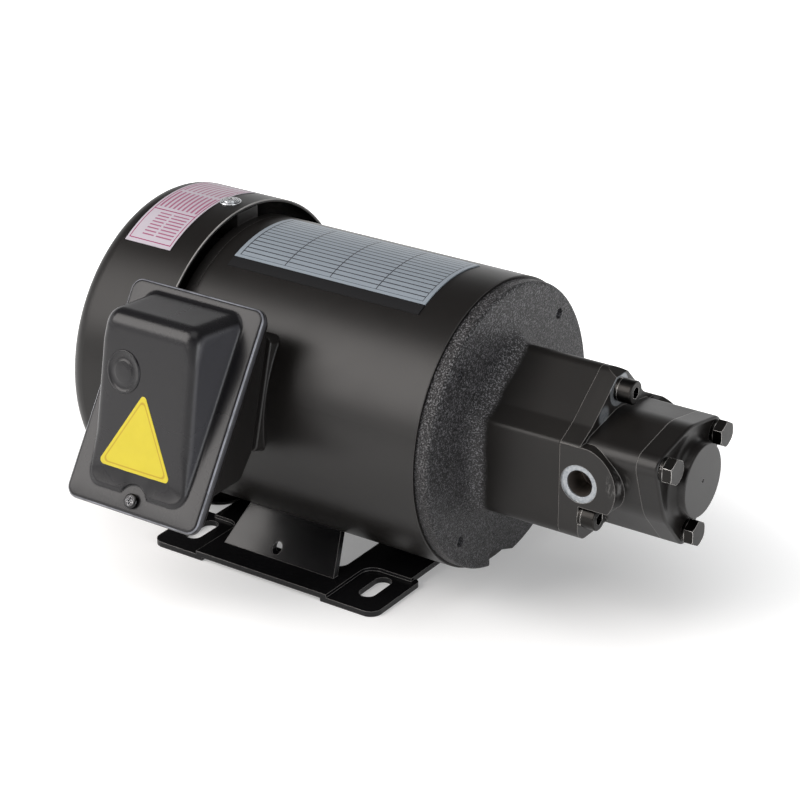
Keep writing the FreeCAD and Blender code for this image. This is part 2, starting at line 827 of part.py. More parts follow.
def rear_bracket():
    """End shield with the rear bearing seat and four lugs that carry the fan cover."""
    item = body("rear_bracket")
    ring_in = "shell_r - shell_wall - spigot_wall"
    flange_rear = f"{SHELL_END} - rear_flange"
    disc_front = f"{flange_rear} + rear_disc"
    hub_rear = f"{REAR_SHOULDER} - 2.5"
    disc = sketch(item, "XZ_Plane")
    outline(disc, [("0", hub_rear), ("rear_out_r + hub_wall", hub_rear),
                   ("rear_out_r + hub_wall", flange_rear), ("shell_r", flange_rear),
                   ("shell_r", SHELL_END), (SPIGOT_R, SHELL_END),
                   (SPIGOT_R, f"{SHELL_END} + spigot_len"), (ring_in, f"{SHELL_END} + spigot_len"),
                   (ring_in, disc_front), ("0", disc_front)])
    spin(item, "Revolution", disc)
    lug = sketch(item, "XZ_Plane")
    box_outline(lug, "lug_inner_r", "sqrt((cover_r - cover_sheet - seat_gap) ^ 2 - (lug_w / 2) ^ 2)",
                f"{SHELL_END} - lug_len", f"{flange_rear} + 1")
    lug_pad = pad(item, lug, "lug_w", middle=True)
    thread = sketch(item, "YZ_Plane")
    circle(thread, "0", "-cover_screw_s", "screw_r + fit_gap")
    thread_cut = cut(item, thread, "cover_r", ahead=True)
    around(item, [lug_pad, thread_cut], "cover_screws")
    turned_cut(item, [("0", "-(rear_back - rear_width - hub_len)"),
                      ("rear_out_r + fit_gap", "-(rear_back - rear_width - hub_len)"),
                      ("rear_out_r + fit_gap", REAR_SHOULDER), ("rear_out_r - hub_step", REAR_SHOULDER),
                      ("rear_out_r - hub_step", f"{hub_rear} - 1"), ("0", f"{hub_rear} - 1")])
    holes = sketch(item, offset=flange_rear)
    for i in range(4):
        x, y = polar("tie_circle_r", 45 + 90 * i)
        circle(holes, x, y, "tie_r + seat_gap")
    cut(item, holes, "rear_disc + spigot_len", ahead=True)


def through_bolts():
    item = body("through_bolts", along_shaft(spin="45"))
    flange_rear = f"({SHELL_END} - rear_flange)"
    shank = turned_off_axis(item, "tie_circle_r", [("0", flange_rear), ("tie_r", flange_rear),
                                                   ("tie_r", "-tie_inset"), ("0", "-tie_inset")])
    head = sketch(item, offset=f"{flange_rear} - tie_head_len")
    hexagon(head, "tie_circle_r", "0", "tie_head_r")
    around(item, [shank, pad(item, head, "tie_head_len")], "4")


def fan_cover():
    """Drawn cup with a slotted rear wall and screw holes near its rim."""
    item = turned("fan_cover", [("0", "-cover_rear"), ("cover_r", "-cover_rear", "cover_round"),
                                ("cover_r", "-cover_rim"), ("cover_r - cover_sheet", "-cover_rim"),
                                ("cover_r - cover_sheet", "-(cover_rear - cover_sheet)",
                                 "cover_round - cover_sheet"),
                                ("0", "-(cover_rear - cover_sheet)")])
    slots = sketch(item, offset="-(cover_rear + 1)")
    for inner, outer in (("grille_in_r", "grille_mid_r"), ("grille_mid_r + grille_rib", "grille_out_r")):
        slot_outline(slots, f"({inner} + {outer}) / 2", "0", f"{outer} - ({inner})", "grille_w")
    around(item, [cut(item, slots, "cover_sheet + 2", ahead=True)], "grille_slots")
    hole = sketch(item, "YZ_Plane")
    circle(hole, "0", "-cover_screw_s", "screw_r + seat_gap")
    around(item, [cut(item, hole, "cover_r + 1", ahead=True)], "cover_screws")


def fan_cover_screws():
    item = body("fan_cover_screws")
    drawing = sketch(item, "XZ_Plane")
    level = FreeCAD.Vector(0, -size("cover_screw_s"), 0)
    far = FreeCAD.Vector(200, 0, 0)
    line = drawing.addGeometry(Part.LineSegment(level, level + far), True)
    pin(drawing, line, 1, "0", "-cover_screw_s")
    pin(drawing, line, 2, str(far.x), "-cover_screw_s")
    seat = "cover_r"
    outline(drawing, [(f"{seat} - screw_reach", "-cover_screw_s"),
                      (f"{seat} - screw_reach", "-cover_screw_s + screw_r"),
                      (seat, "-cover_screw_s + screw_r"), (seat, "-cover_screw_s + screw_head_r"),
                      (f"{seat} + screw_head_len", "-cover_screw_s + screw_head_r", "screw_dome"),
                      (f"{seat} + screw_head_len", "-cover_screw_s")])
    solid = spin(item, "Revolution", drawing, "Axis0")
    recess = sketch(item, "YZ_Plane", f"{seat} + screw_head_len")
    cross_outline(recess, "0", "-cover_screw_s")
    around(item, [solid, cut(item, recess, "cross_deep")], "cover_screws")


# Stator, rotor and fan

def stator_core():
    item = ring("stator_core", "bore_r", SPIGOT_R, STATOR_BACK, STATOR_FRONT)
    slot = sketch(item, offset=STATOR_BACK)
    box_outline(slot, "bore_r - 2", "slot_top_r", "-slot_w / 2", "slot_w / 2")
    around(item, [cut(item, slot, "stator_len", ahead=True)], "stator_slots")
    holes = sketch(item, offset=STATOR_BACK)
    for i in range(4):
        x, y = polar("tie_circle_r", 45 + 90 * i)
        circle(holes, x, y, "tie_r + tie_gap")
    cut(item, holes, "stator_len", ahead=True)


def stator_windings():
    """Two end coils joined by one bar in every slot."""
    item = body("stator_windings")
    inner = "bore_r + 4"
    bar = sketch(item, offset=f"{STATOR_BACK} - 1")
    box_outline(bar, inner, "slot_top_r - slot_gap", "-(slot_w / 2 - slot_gap)", "slot_w / 2 - slot_gap")
    around(item, [pad(item, bar, "stator_len + 2")], "stator_slots")
    for back, front in ((f"{STATOR_BACK} - coil_len", f"{STATOR_BACK} - slot_gap"),
                        (f"{STATOR_FRONT} + slot_gap", f"{STATOR_FRONT} + coil_len")):
        coil = sketch(item, "XZ_Plane")
        outline(coil, [(f"{inner} + coil_slope", back), ("coil_r - coil_slope", back),
                       ("coil_r", f"{back} + coil_slope"), ("coil_r", f"{front} - coil_slope"),
                       ("coil_r - coil_slope", front), (f"{inner} + coil_slope", front),
                       (inner, f"{front} - coil_slope"), (inner, f"{back} + coil_slope")])
        spin(item, "Revolution", coil)


def rotor_core():
    item = ring("rotor_core", "rotor_shaft_r + fit_gap", ROTOR_R, STATOR_BACK, STATOR_FRONT)
    slot = sketch(item, offset=STATOR_BACK)
    top = f"{ROTOR_R} - 2"
    box_outline(slot, f"{top} - bar_h", top, "-bar_w / 2", "bar_w / 2")
    around(item, [cut(item, slot, "stator_len", ahead=True)], "bars")


def rotor_cage():
    """Cast end rings with fins, joined by the bars in the rotor core."""
    item = body("rotor_cage")
    top = f"{ROTOR_R} - 2"
    bar = sketch(item, offset=f"{STATOR_BACK} - 1")
    box_outline(bar, f"{top} - bar_h + fit_gap", f"{top} - fit_gap", "-(bar_w / 2 - fit_gap)",
                "bar_w / 2 - fit_gap")
    around(item, [pad(item, bar, "stator_len + 2")], "bars")
    for edge, side in ((STATOR_BACK, "-"), (STATOR_FRONT, "+")):
        rim = sketch(item, "XZ_Plane")
        far = f"{edge} {side} ring_len"
        low, high = (far, edge) if side == "-" else (edge, far)
        box_outline(rim, "ring_in_r", f"{ROTOR_R} - 0.6", low, high)
        spin(item, "Revolution", rim)
        fin = sketch(item, offset=f"{edge} {side} ring_len")
        box_outline(fin, "ring_in_r + fin_inset", f"{ROTOR_R} - 3", "-fin_w / 2", "fin_w / 2")
        around(item, [pad(item, fin, "fin_len", back=side == "-")], "fins")


def motor_shaft():
    shoulder = "front_bore_r + front_step"
    wide_rear = f"{STATOR_BACK} - shaft_wide_rear"
    wide_front = f"{STATOR_FRONT} + shaft_wide_front"
    item = turned("motor_shaft", [
        ("0", "-tail_end"), ("tail_r", "-tail_end"), ("tail_r", "-(fan_front - 2)"),
        ("rear_bore_r", "-(fan_front - 2)"), ("rear_bore_r", "-(rear_back - rear_width)"),
        ("rear_bore_r + rear_step", "-(rear_back - rear_width)"), ("rear_bore_r + rear_step", wide_rear),
        ("rotor_shaft_r", wide_rear), ("rotor_shaft_r", wide_front), (shoulder, wide_front),
        (shoulder, "-front_back"), ("front_bore_r", "-front_back"),
        ("front_bore_r", "coupling_back - 2"), ("nose_r", "coupling_back - 2"), ("nose_r", "nose_end"),
        ("0", "nose_end")])
    key = sketch(item, "XZ_Plane")
    box_outline(key, "nose_r - key_depth", "nose_r + 1", "nose_end - 2 - key_len", "nose_end - 2")
    cut(item, key, "key_w", middle=True)


def bearing(place_name, bore, outer, width, back, ball, count):
    """Deep groove ball bearing: two rings, the balls and their cage."""
    pitch = f"(({bore} + {outer}) / 2)"
    middle = f"({width} / 2 - {back})"
    front = f"{width} - {back}"
    lip = f"ring_lip * {ball}"
    inner = ring(f"{place_name}_bearing_inner_ring", f"{bore} + fit_gap", f"{pitch} - {lip}",
                 f"-{back}", front)
    outer_ring = ring(f"{place_name}_bearing_outer_ring", f"{pitch} + {lip}", outer, f"-{back}", front)
    for item in (inner, outer_ring):
        track = sketch(item, "XZ_Plane")
        circle(track, pitch, middle, f"{ball} + ball_gap")
        spin(item, "Groove", track)
    balls = body(f"{place_name}_bearing_balls")
    around(balls, [sphere(balls, "AdditiveSphere", pitch, middle, ball)], count)
    half = f"{ball} * cage_share"
    cage = ring(f"{place_name}_bearing_cage", f"{pitch} - cage_half", f"{pitch} + cage_half",
                f"{middle} - {half}", f"{middle} + {half}")
    around(cage, [sphere(cage, "SubtractiveSphere", pitch, middle, f"{ball} + ball_gap")], count)


def sphere(owner, kind, x, station, radius):
    item = owner.newObject("PartDesign::" + kind, owner.Label + "_ball")
    item.AttachmentSupport = [(origin(owner, "XY_Plane"), "")]
    item.MapMode = "FlatFace"
    bind(item, "AttachmentOffset.Base.x", x)
    bind(item, "AttachmentOffset.Base.z", station)
    bind(item, "Radius", radius)
    return item


def cooling_fan():
    item = turned("cooling_fan", [("tail_r + fit_gap", "-fan_rear"), ("fan_hub_r", "-fan_rear"),
                                  ("fan_hub_r", "-(fan_front + fan_disc)"),
                                  ("fan_r", "-(fan_front + fan_disc)"), ("fan_r", "-fan_front"),
                                  ("tail_r + fit_gap", "-fan_front")])
    blade = sketch(item, "XZ_Plane")
    outline(blade, [("fan_hub_r - 1", "-fan_rear"), ("fan_r - blade_in", "-fan_rear"),
                    ("fan_r", "-(fan_rear - blade_slant)"),
                    ("fan_r", "-(fan_front + fan_disc - blade_root)"),
                    ("fan_hub_r - 1", "-(fan_front + fan_disc - blade_root)")])
    around(item, [pad(item, blade, "blade_w", middle=True)], "blades")


def fan_clip():
    item = ring("fan_clip", "tail_r + fit_gap", "tail_r + clip_w", "-(fan_rear + clip_thick)", "-fan_rear")
    gap = sketch(item, offset="-(fan_rear + clip_thick)")
    box_outline(gap, "0", "tail_r + clip_w + 1", "-2", "2")
    cut(item, gap, "clip_thick", ahead=True)


# Drive line from the motor to the pump

def shaft_coupling():
    """Sleeve keyed on the motor shaft, with a slot ahead of it for the tang of the pump shaft."""
    floor = "nose_end + coupling_gap"
    item = turned("shaft_coupling", [("nose_r + fit_gap", "coupling_back"),
                                     ("coupling_r", "coupling_back", "edge_break"),
                                     ("coupling_r", "coupling_end", "edge_break"),
                                     ("0", "coupling_end"), ("0", floor), ("nose_r + fit_gap", floor)])
    key = sketch(item, offset="coupling_back")
    box_outline(key, "0", "nose_r - key_depth + key_w + fit_gap", "-key_w / 2", "key_w / 2")
    cut(item, key, f"{floor} - coupling_back", ahead=True)
    slot = sketch(item, offset="coupling_end")
    box_outline(slot, "-pump_shaft_r - tang_gap", "pump_shaft_r + tang_gap",
                "-tang_w / 2 - tang_gap", "tang_w / 2 + tang_gap")
    cut(item, slot, "coupling_end - pump_shaft_back + coupling_gap")


def coupling_key():
    item = body("coupling_key")
    drawing = sketch(item, "XZ_Plane")
    box_outline(drawing, "nose_r - key_depth", "nose_r - key_depth + key_w",
                "nose_end - 2 - key_len", "nose_end - 2")
    pad(item, drawing, "key_w - 2 * fit_gap", middle=True)


def pump_shaft():
    """Shaft with a flat tang for the coupling and a keyway for the inner rotor."""
    item = turned("pump_shaft", [("0", "pump_shaft_back"), ("pump_shaft_r", "pump_shaft_back"),
                                 ("pump_shaft_r", "pump_shaft_end"), ("0", "pump_shaft_end")])
    flats = sketch(item, offset="pump_shaft_back")
    for side in ("-", ""):
        inner, outer = f"{side}(tang_w / 2)", f"{side}(pump_shaft_r + 1)"
        low, high = (outer, inner) if side else (inner, outer)
        box_outline(flats, "-(pump_shaft_r + 1)", "pump_shaft_r + 1", low, high)
    cut(item, flats, "tang_len", ahead=True)
    key = sketch(item, "XZ_Plane")
    box_outline(key, "pump_shaft_r - rotor_key_depth", "pump_shaft_r + 1", f"{POCKET_FLOOR} + 2",
                "pump_end - 2")
    cut(item, key, "rotor_key_w", middle=True)


def rotor_key():
    item = body("rotor_key")
    drawing = sketch(item, "XZ_Plane")
    box_outline(drawing, "pump_shaft_r - rotor_key_depth", "pump_shaft_r + rotor_key_top - fit_gap",
                f"{POCKET_FLOOR} + 2", "pump_end - 2")
    pad(item, drawing, "rotor_key_w - 2 * fit_gap", middle=True)


# Trochoid rotors

def inner_rotor():
    """Toothed rotor whose flank runs parallel to the path of the outer rotor's lobe centres."""
    teeth = int(size("inner_teeth"))
    offset = size("rotor_offset")
    centre_r = size("lobe_centre_r")
    inset = size("lobe_r + mesh_gap")
    points = []
    steps = 12 * teeth
    for i in range(steps):
        turn = 2 * math.pi * i / steps
        fast = (teeth + 1) * turn
        x = centre_r * math.cos(turn) + offset * math.cos(fast)
        y = centre_r * math.sin(turn) + offset * math.sin(fast)
        along_x = -centre_r * math.sin(turn) - offset * (teeth + 1) * math.sin(fast)
        along_y = centre_r * math.cos(turn) + offset * (teeth + 1) * math.cos(fast)
        length = math.hypot(along_x, along_y)
        points.append(FreeCAD.Vector(x - inset * along_y / length, y + inset * along_x / length, 0))
    curve = Part.BSplineCurve()
    curve.interpolate(points, PeriodicFlag=True)
    width = size("rotor_width")
    face = Part.Face(Part.Wire([curve.toShape()]))
    solid = face.extrude(FreeCAD.Vector(0, 0, width))
    bore = Part.makeCylinder(size("pump_shaft_r + fit_gap"), width)
    key_w = size("rotor_key_w")
    keyway = Part.makeBox(size("pump_shaft_r + rotor_key_top"), key_w, width,
                          FreeCAD.Vector(0, -key_w / 2, 0))
    item = doc.addObject("Part::Feature", "inner_rotor")
    item.Shape = solid.cut(bore.fuse(keyway))
    item.Label = "inner_rotor"
    place(item, ("0", f"-flange_ahead - ({POCKET_FLOOR} + end_gap)", SHAFT_Z, "0", "0", "90"))
    PIECES.append(item)


def cylinder(name, radius, length, x="0", y="0"):
    item = doc.addObject("Part::Cylinder", name)
    bind(item, "Radius", radius)
    bind(item, "Height", length)
    bind(item, "Placement.Base.x", x)
    bind(item, "Placement.Base.y", y)
    return item


def outer_rotor():
    """Ring with one round lobe more than the inner rotor has teeth, trimmed to its outside."""
    lobes = int(size("inner_teeth")) + 1
    root_r = "lobe_centre_r + 2 * rotor_offset - lobe_r + mesh_gap"
    bore = cylinder("rotor_bore", root_r, "rotor_width")
    blank = cylinder("rotor_blank", "outer_rotor_r", "rotor_width")
    rim = doc.addObject("Part::Cut", "rotor_rim")
    rim.Base = blank
    rim.Tool = bore
    pins = []
    for i in range(lobes):
        angle = 90 + 360 / lobes * i
        x, y = polar("lobe_centre_r", angle)
        pins.append(cylinder(f"rotor_lobe_{i + 1}", "lobe_r", "rotor_width", x, y))
    joined = doc.addObject("Part::MultiFuse", "rotor_lobes")
    joined.Shapes = [rim] + pins
    trim = cylinder("rotor_trim", "outer_rotor_r", "rotor_width")
    item = doc.addObject("Part::MultiCommon", "outer_rotor")
    item.Shapes = [joined, trim]
    item.Label = "outer_rotor"
    place(item, ("0", f"-flange_ahead - ({POCKET_FLOOR} + end_gap)", f"{SHAFT_Z} + rotor_offset",
                 "0", "0", "90"))
    PIECES.append(item)


# Pump castings and what they hold

def pump_body():
    """Casting with two side ports, the rotor pocket, the seal and bush bores and the screw ears."""
    item = body("pump_body")
    boss = sketch(item, "YZ_Plane")
    outline(boss, [("-boss_r", "neck_len"), ("boss_r", "neck_len"),
                   ("boss_r", "port_s + boss_r", "boss_r - boss_trim"),
                   ("-boss_r", "port_s + boss_r", "boss_r - boss_trim")])
    pad(item, boss, "2 * block_x", middle=True)
    top = sketch(item, offset="neck_len")
    box_outline(top, "-block_x - 1", "block_x + 1", "block_top", "boss_r + 1")
    cut(item, top, "port_s + boss_r - neck_len", ahead=True)
    ears = sketch(item, offset="neck_len")
    outline(ears, neck_corners())
    pad(item, ears, "screw_seat - neck_len")
    slope = sketch(item, "YZ_Plane")
    outline(slope, [("neck_top - ridge_drop", "ear_flat"), ("neck_top", "ear_flat"),
                    ("neck_top", "screw_seat"), ("ear_top", "screw_seat")])
    cut(item, slope, "2 * block_x", middle=True)
    housing = sketch(item, offset="neck_len")
    lobed_outline(housing, 30)
    pad(item, housing, "pump_end - neck_len")
    pilot = sketch(item, offset="neck_len")
    circle(pilot, "0", "0", "pilot_r")
    pad(item, pilot, "pilot_len", back=True)
    spots = sketch(item, offset="screw_seat")
    three_circles(spots, "screw_circle_r", "spot_r", 90)
    cut(item, spots, "pump_end - screw_seat", ahead=True)
    holes = sketch(item, offset="screw_seat")
    three_circles(holes, "screw_circle_r", "screw_hole_r", 90)
    cut(item, holes, "screw_seat - neck_len")
    threads = sketch(item, offset="pump_end")
    three_circles(threads, "bolt_circle_r", "bolt_r + fit_gap", 30)
    cut(item, threads, "bolt_reach + 2")
    pocket = sketch(item, offset=POCKET_FLOOR)
    circle(pocket, "0", "rotor_offset", "outer_rotor_r + side_gap")
    cut(item, pocket, "rotor_width + 1", ahead=True)
    groove = sketch(item, offset="pump_end")
    circle(groove, "0", "rotor_offset", "ring_in")
    circle(groove, "0", "rotor_offset", "ring_out")
    cut(item, groove, "ring_deep")
    seal_front = "neck_len - pilot_len + seal_len + seal_back_gap"
    turned_cut(item, [("0", "neck_len - pilot_len - 1"), ("seal_r + fit_gap", "neck_len - pilot_len - 1"),
                      ("seal_r + fit_gap", seal_front), ("pump_shaft_r + 1", seal_front),
                      ("pump_shaft_r + 1", f"{POCKET_FLOOR} - bush_len"),
                      ("bush_r + fit_gap", f"{POCKET_FLOOR} - bush_len"),
                      ("bush_r + fit_gap", f"{POCKET_FLOOR} + 1"), ("0", f"{POCKET_FLOOR} + 1")])
    kidney = turned_cut(item, [("kidney_in_r", f"{POCKET_FLOOR} - kidney_depth"),
                               ("kidney_out_r", f"{POCKET_FLOOR} - kidney_depth"),
                               ("kidney_out_r", f"{POCKET_FLOOR} + 1"),
                               ("kidney_in_r", f"{POCKET_FLOOR} + 1")],
                        sweep="kidney_angle", middle=True)
    port = sketch(item, "YZ_Plane", "block_x")
    circle(port, "0", "port_s", "port_r")
    port_cut = cut(item, port, "port_depth")
    passage = sketch(item, "YZ_Plane", "passage_end")
    circle(passage, "0", "port_s", "passage_r")
    passage_cut = cut(item, passage, "block_x - port_depth - passage_end", ahead=True)
    face = sketch(item, "YZ_Plane", "block_x")
    circle(face, "0", "port_s", "port_face_r")
    both_sides(item, [kidney, port_cut, passage_cut, cut(item, face, "port_ring_depth")])


def pump_cover():
    """Front plate with the nose boss, the bolt holes and the pocket of its bush."""
    item = body("pump_cover")
    plate = sketch(item, offset="pump_end")
    lobed_outline(plate, 30)
    plate_pad = pad(item, plate, "cover_thick")
    front = size(COVER_FACE)
    reach = size("bolt_circle_r + bolt_lobe_r + cover_thick") * 4
    round_edges(item, plate_pad, "cover_bevel", lambda edge: in_plane(edge, 2, front, reach))
    boss = sketch(item, "XZ_Plane")
    skirt = "nose_boss_r + cover_root + seat_gap"
    nose = f"{COVER_FACE} + nose_boss_len"
    outline(boss, [("0", "pump_end + 1"), (skirt, "pump_end + 1"), (skirt, COVER_FACE),
                   ("nose_boss_r", COVER_FACE, "cover_root"), ("nose_boss_r", nose, "edge_break"),
                   ("centre_r", nose), ("0", f"{nose} - centre_r")])
    spin(item, "Revolution", boss)
    holes = sketch(item, offset="pump_end")
    three_circles(holes, "bolt_circle_r", "bolt_hole_r", 30)
    cut(item, holes, "cover_thick", ahead=True)
    turned_cut(item, [("0", "pump_end - 1"), ("bush_r + fit_gap", "pump_end - 1"),
                      ("bush_r + fit_gap", "pump_end + bush_pocket"), ("0", "pump_end + bush_pocket")])


def cover_bolts():
    item = body("cover_bolts", along_shaft(spin="30"))
    seat = f"({COVER_FACE} + washer_thick)"
    shank = turned_off_axis(item, "bolt_circle_r", [("0", "pump_end - bolt_reach"),
                                                    ("bolt_r", "pump_end - bolt_reach"),
                                                    ("bolt_r", seat), ("0", seat)])
    head = sketch(item, offset=seat)
    hexagon(head, "bolt_circle_r", "0", "bolt_head_r")
    head_pad = pad(item, head, "bolt_head_len")
    top = f"{seat} + bolt_head_len"
    bevel = turned_off_axis(item, "bolt_circle_r",
                            [("bolt_head_r - edge_break", f"{top} + 1"), ("bolt_head_r - edge_break", top),
                             ("bolt_head_r + 1", f"{top} - 1"), ("bolt_head_r + 1", f"{top} + 1")],
                            "Groove")
    around(item, [shank, head_pad, bevel], "3")


def lock_washers(name, lean, circle_r, shank, outer, seat, thick):
    """Three spring washers on a circle, split where their ends meet."""
    item = body(name, along_shaft(spin=lean))
    top = f"{seat} + {thick}"
    bore = f"{shank} + washer_gap"
    solid = turned_off_axis(item, circle_r, [(bore, seat), (outer, seat), (outer, top), (bore, top)])
    split = sketch(item, offset=seat)
    box_outline(split, circle_r, f"{circle_r} + {outer} + 1", "-0.4", "0.4")
    around(item, [solid, cut(item, split, thick, ahead=True)], "3")


def body_screws():
    """Socket head screws that hold the pump body to the neck."""
    item = body("body_screws", along_shaft(spin="90"))
    tip = "neck_len - thread_depth + 2"
    under = "screw_seat + ear_washer"
    head_top = f"{under} + cap_head_len"
    solid = turned_off_axis(item, "screw_circle_r",
                            [("0", tip), ("screw_shank_r", tip), ("screw_shank_r", under),
                             ("cap_head_r", under), ("cap_head_r", head_top, "edge_break"), ("0", head_top)])
    socket = sketch(item, offset=head_top)
    hexagon(socket, "screw_circle_r", "0", "hex_key_r")
    around(item, [solid, cut(item, socket, "hex_key_depth")], "3")


def small_pump_parts():
    ring("body_bush", "pump_shaft_r + shaft_gap", "bush_r", f"{POCKET_FLOOR} - bush_len", POCKET_FLOOR)
    ring("cover_bush", "pump_shaft_r + shaft_gap", "bush_r", "pump_end", "pump_end + bush_pocket - 1")
    seal_back = "neck_len - pilot_len"
    case_back = f"{seal_back} + seal_back_gap"
    case_front = f"{seal_back} + seal_back_gap + seal_len"
    lip_back = f"{seal_back} + lip_start"
    lip_front = f"{seal_back} + lip_start + lip_thick"
    turned("shaft_seal", [("pump_shaft_r + shaft_gap", lip_back), ("pump_shaft_r + 2", lip_back),
                          ("seal_r - 2", case_back), ("seal_r", case_back), ("seal_r", case_front),
                          ("seal_r - lip_thick", case_front), ("seal_r - lip_thick", lip_front),
                          ("pump_shaft_r + shaft_gap", lip_front)])
    ring("cover_seal_ring", "ring_in", "ring_out", "pump_end - ring_deep", "pump_end", OFF_CENTRE)
    ring("wave_washer", "rear_out_r - hub_step + wave_inset", "rear_out_r - wave_inset", REAR_SHOULDER,
         "-rear_back")


# Terminal box

def terminal_box_seat():
    """Saddle between the round shell and the flat back of the box."""
    item = body("terminal_box_seat", ON_SEAT)
    block = sketch(item, offset="shell_r * seat_share")
    box_outline(block, "-base_mid - seat_half_s", "-base_mid + seat_half_s", "-seat_half", "seat_half",
                "rim_round")
    pad(item, block, "seat_plane - shell_r * seat_share")
    shell = sketch(item, "XZ_Plane")
    box_outline(shell, "-base_mid - 2 * seat_half_s", "-base_mid + 2 * seat_half_s", "0", "shell_r")
    spin(item, "Groove", shell, "H_Axis")
    hole = sketch(item)
    circle(hole, "-base_mid", "0", "lead_hole_r")
    cut(item, hole, "seat_plane + 1", ahead=True)


def seat_point(along, out):
    """A point of the seat's frame, as v and w of the tilted box frame."""
    lean = "(box_tilt - seat_tilt)"
    return (f"({along}) * cos({lean}) - ({out}) * sin({lean})",
            f"({along}) * sin({lean}) + ({out}) * cos({lean})")


def floor_point(along, above):
    """A point over the level floor of the box, as v and w of the tilted box frame."""
    return (f"-base_knee_v - ({along}) * sin(box_tilt) + ({above}) * cos(box_tilt)",
            f"base_knee_w + ({along}) * cos(box_tilt) + ({above}) * sin(box_tilt)")


def tilted_sketch(owner, y, z, roll):
    """Sketch through a point of the frame, rolled about the frame's X axis."""
    item = owner.newObject("Sketcher::SketchObject", owner.Label + "_sketch")
    item.AttachmentSupport = [(origin(owner, "XY_Plane"), "")]
    item.MapMode = "FlatFace"
    bind(item, "AttachmentOffset", f"create(<<placement>>; create(<<vector>>; 0; {y}; {z});"
                                   f" create(<<rotation>>; 0; 0; {roll}))")
    return item


def terminal_box_base():
    """Cast box open at its tilted rim, with its back flat on the seat."""
    item = body("terminal_box_base", ON_BOX)
    rim_front = "rim_back + rim_thick"
    profile = sketch(item, "YZ_Plane", "-base_mid")
    back_top = seat_point("seat_half", "seat_plane")
    back_low = seat_point("-seat_half", "seat_plane")
    outline(profile, [("base_top_v", rim_front), back_top, back_low, floor_point("0", "0") + ("base_round",),
                      floor_point("base_floor_len", "0") + ("base_round",), ("-base_low_v", rim_front)])
    pad(item, profile, "2 * base_half_s", middle=True)
    rim = sketch(item, offset="rim_back")
    box_outline(rim, "-box_mid - rim_half_s + rim_inset", "-box_mid + rim_half_s - rim_inset",
                "-rim_mid_v - rim_half_v + rim_inset", "-rim_mid_v + rim_half_v - rim_inset", "rim_round")
    pad(item, rim, "rim_thick")
    inner_top = seat_point("seat_half - base_wall", "seat_plane + base_wall")
    inner_low = seat_point("-seat_half", "seat_plane + base_wall")
    hollow = sketch(item, "YZ_Plane", "-base_mid")
    outline(hollow, [("base_top_v - base_wall", f"{rim_front} + 1"), inner_top, inner_low,
                     floor_point("base_wall / 2", "base_wall"),
                     floor_point("base_floor_len - base_wall / 2", "base_wall"),
                     ("-base_low_v + base_wall", f"{rim_front} + 1")])
    cut(item, hollow, "2 * (base_half_s - base_wall)", middle=True)
    lead = sketch(item)
    lead_v, lead_w = seat_point("0", "seat_plane")
    circle(lead, "-base_mid", lead_v, "lead_hole_r")
    cut(item, lead, f"{lead_w} + base_wall * 3", ahead=True)
    thread = sketch(item, offset="rim_back")
    circle(thread, "-box_mid", "-lid_screw_v", "lid_screw_r + fit_gap")
    cut(item, thread, "rim_thick", ahead=True)
    gland_v, gland_w = floor_point("base_floor_len / 2", "-1")
    gland = tilted_sketch(item, gland_v, gland_w, "box_tilt - 90")
    circle(gland, "-base_mid", "0", "gland_r")
    cut(item, gland, "base_wall + 3", ahead=True)


def box_rim(name, back, thick, inset):
    item = body(name, ON_BOX)
    rim = sketch(item, offset=back)
    box_outline(rim, f"-box_mid - rim_half_s + {inset}", f"-box_mid + rim_half_s - {inset}",
                f"-rim_mid_v - rim_half_v + {inset}", f"-rim_mid_v + rim_half_v - {inset}", "rim_round")
    return item, pad(item, rim, thick)


def terminal_box_gasket():
    item = box_rim("terminal_box_gasket", "rim_back + rim_thick", "gasket_thick", "rim_inset")[0]
    window = sketch(item, offset="rim_back + rim_thick")
    box_outline(window, "-base_mid - base_half_s + base_wall", "-base_mid + base_half_s - base_wall",
                "-base_low_v + base_wall", "base_top_v - base_wall", "block_round")
    circle(window, "-box_mid", "-lid_screw_v", "lid_screw_r + lid_screw_gap")
    cut(item, window, "gasket_thick", ahead=True)


def hood_foot(item, inset, level):
    """Outline of the hood where it leaves the lid's rim."""
    drawing = sketch(item, offset=level)
    box_outline(drawing, f"-box_mid - hood_half_s + {inset}", f"-box_mid + hood_half_s - {inset}",
                f"-hood_low_v + {inset}", f"hood_top_v - {inset}", "hood_round")
    return drawing


def hood_front(item, inset, depth):
    """Outline of the hood at a depth behind its tilted front."""
    drawing = tilted_sketch(item, "0", f"hood_w - {depth} / cos(hood_tilt)", "hood_tilt")
    box_outline(drawing, f"-box_mid - hood_front_half_s + {inset}",
                f"-box_mid + hood_front_half_s - {inset}", f"-hood_front_low + {inset}",
                f"-hood_front_top - {inset}", "hood_round")
    return drawing


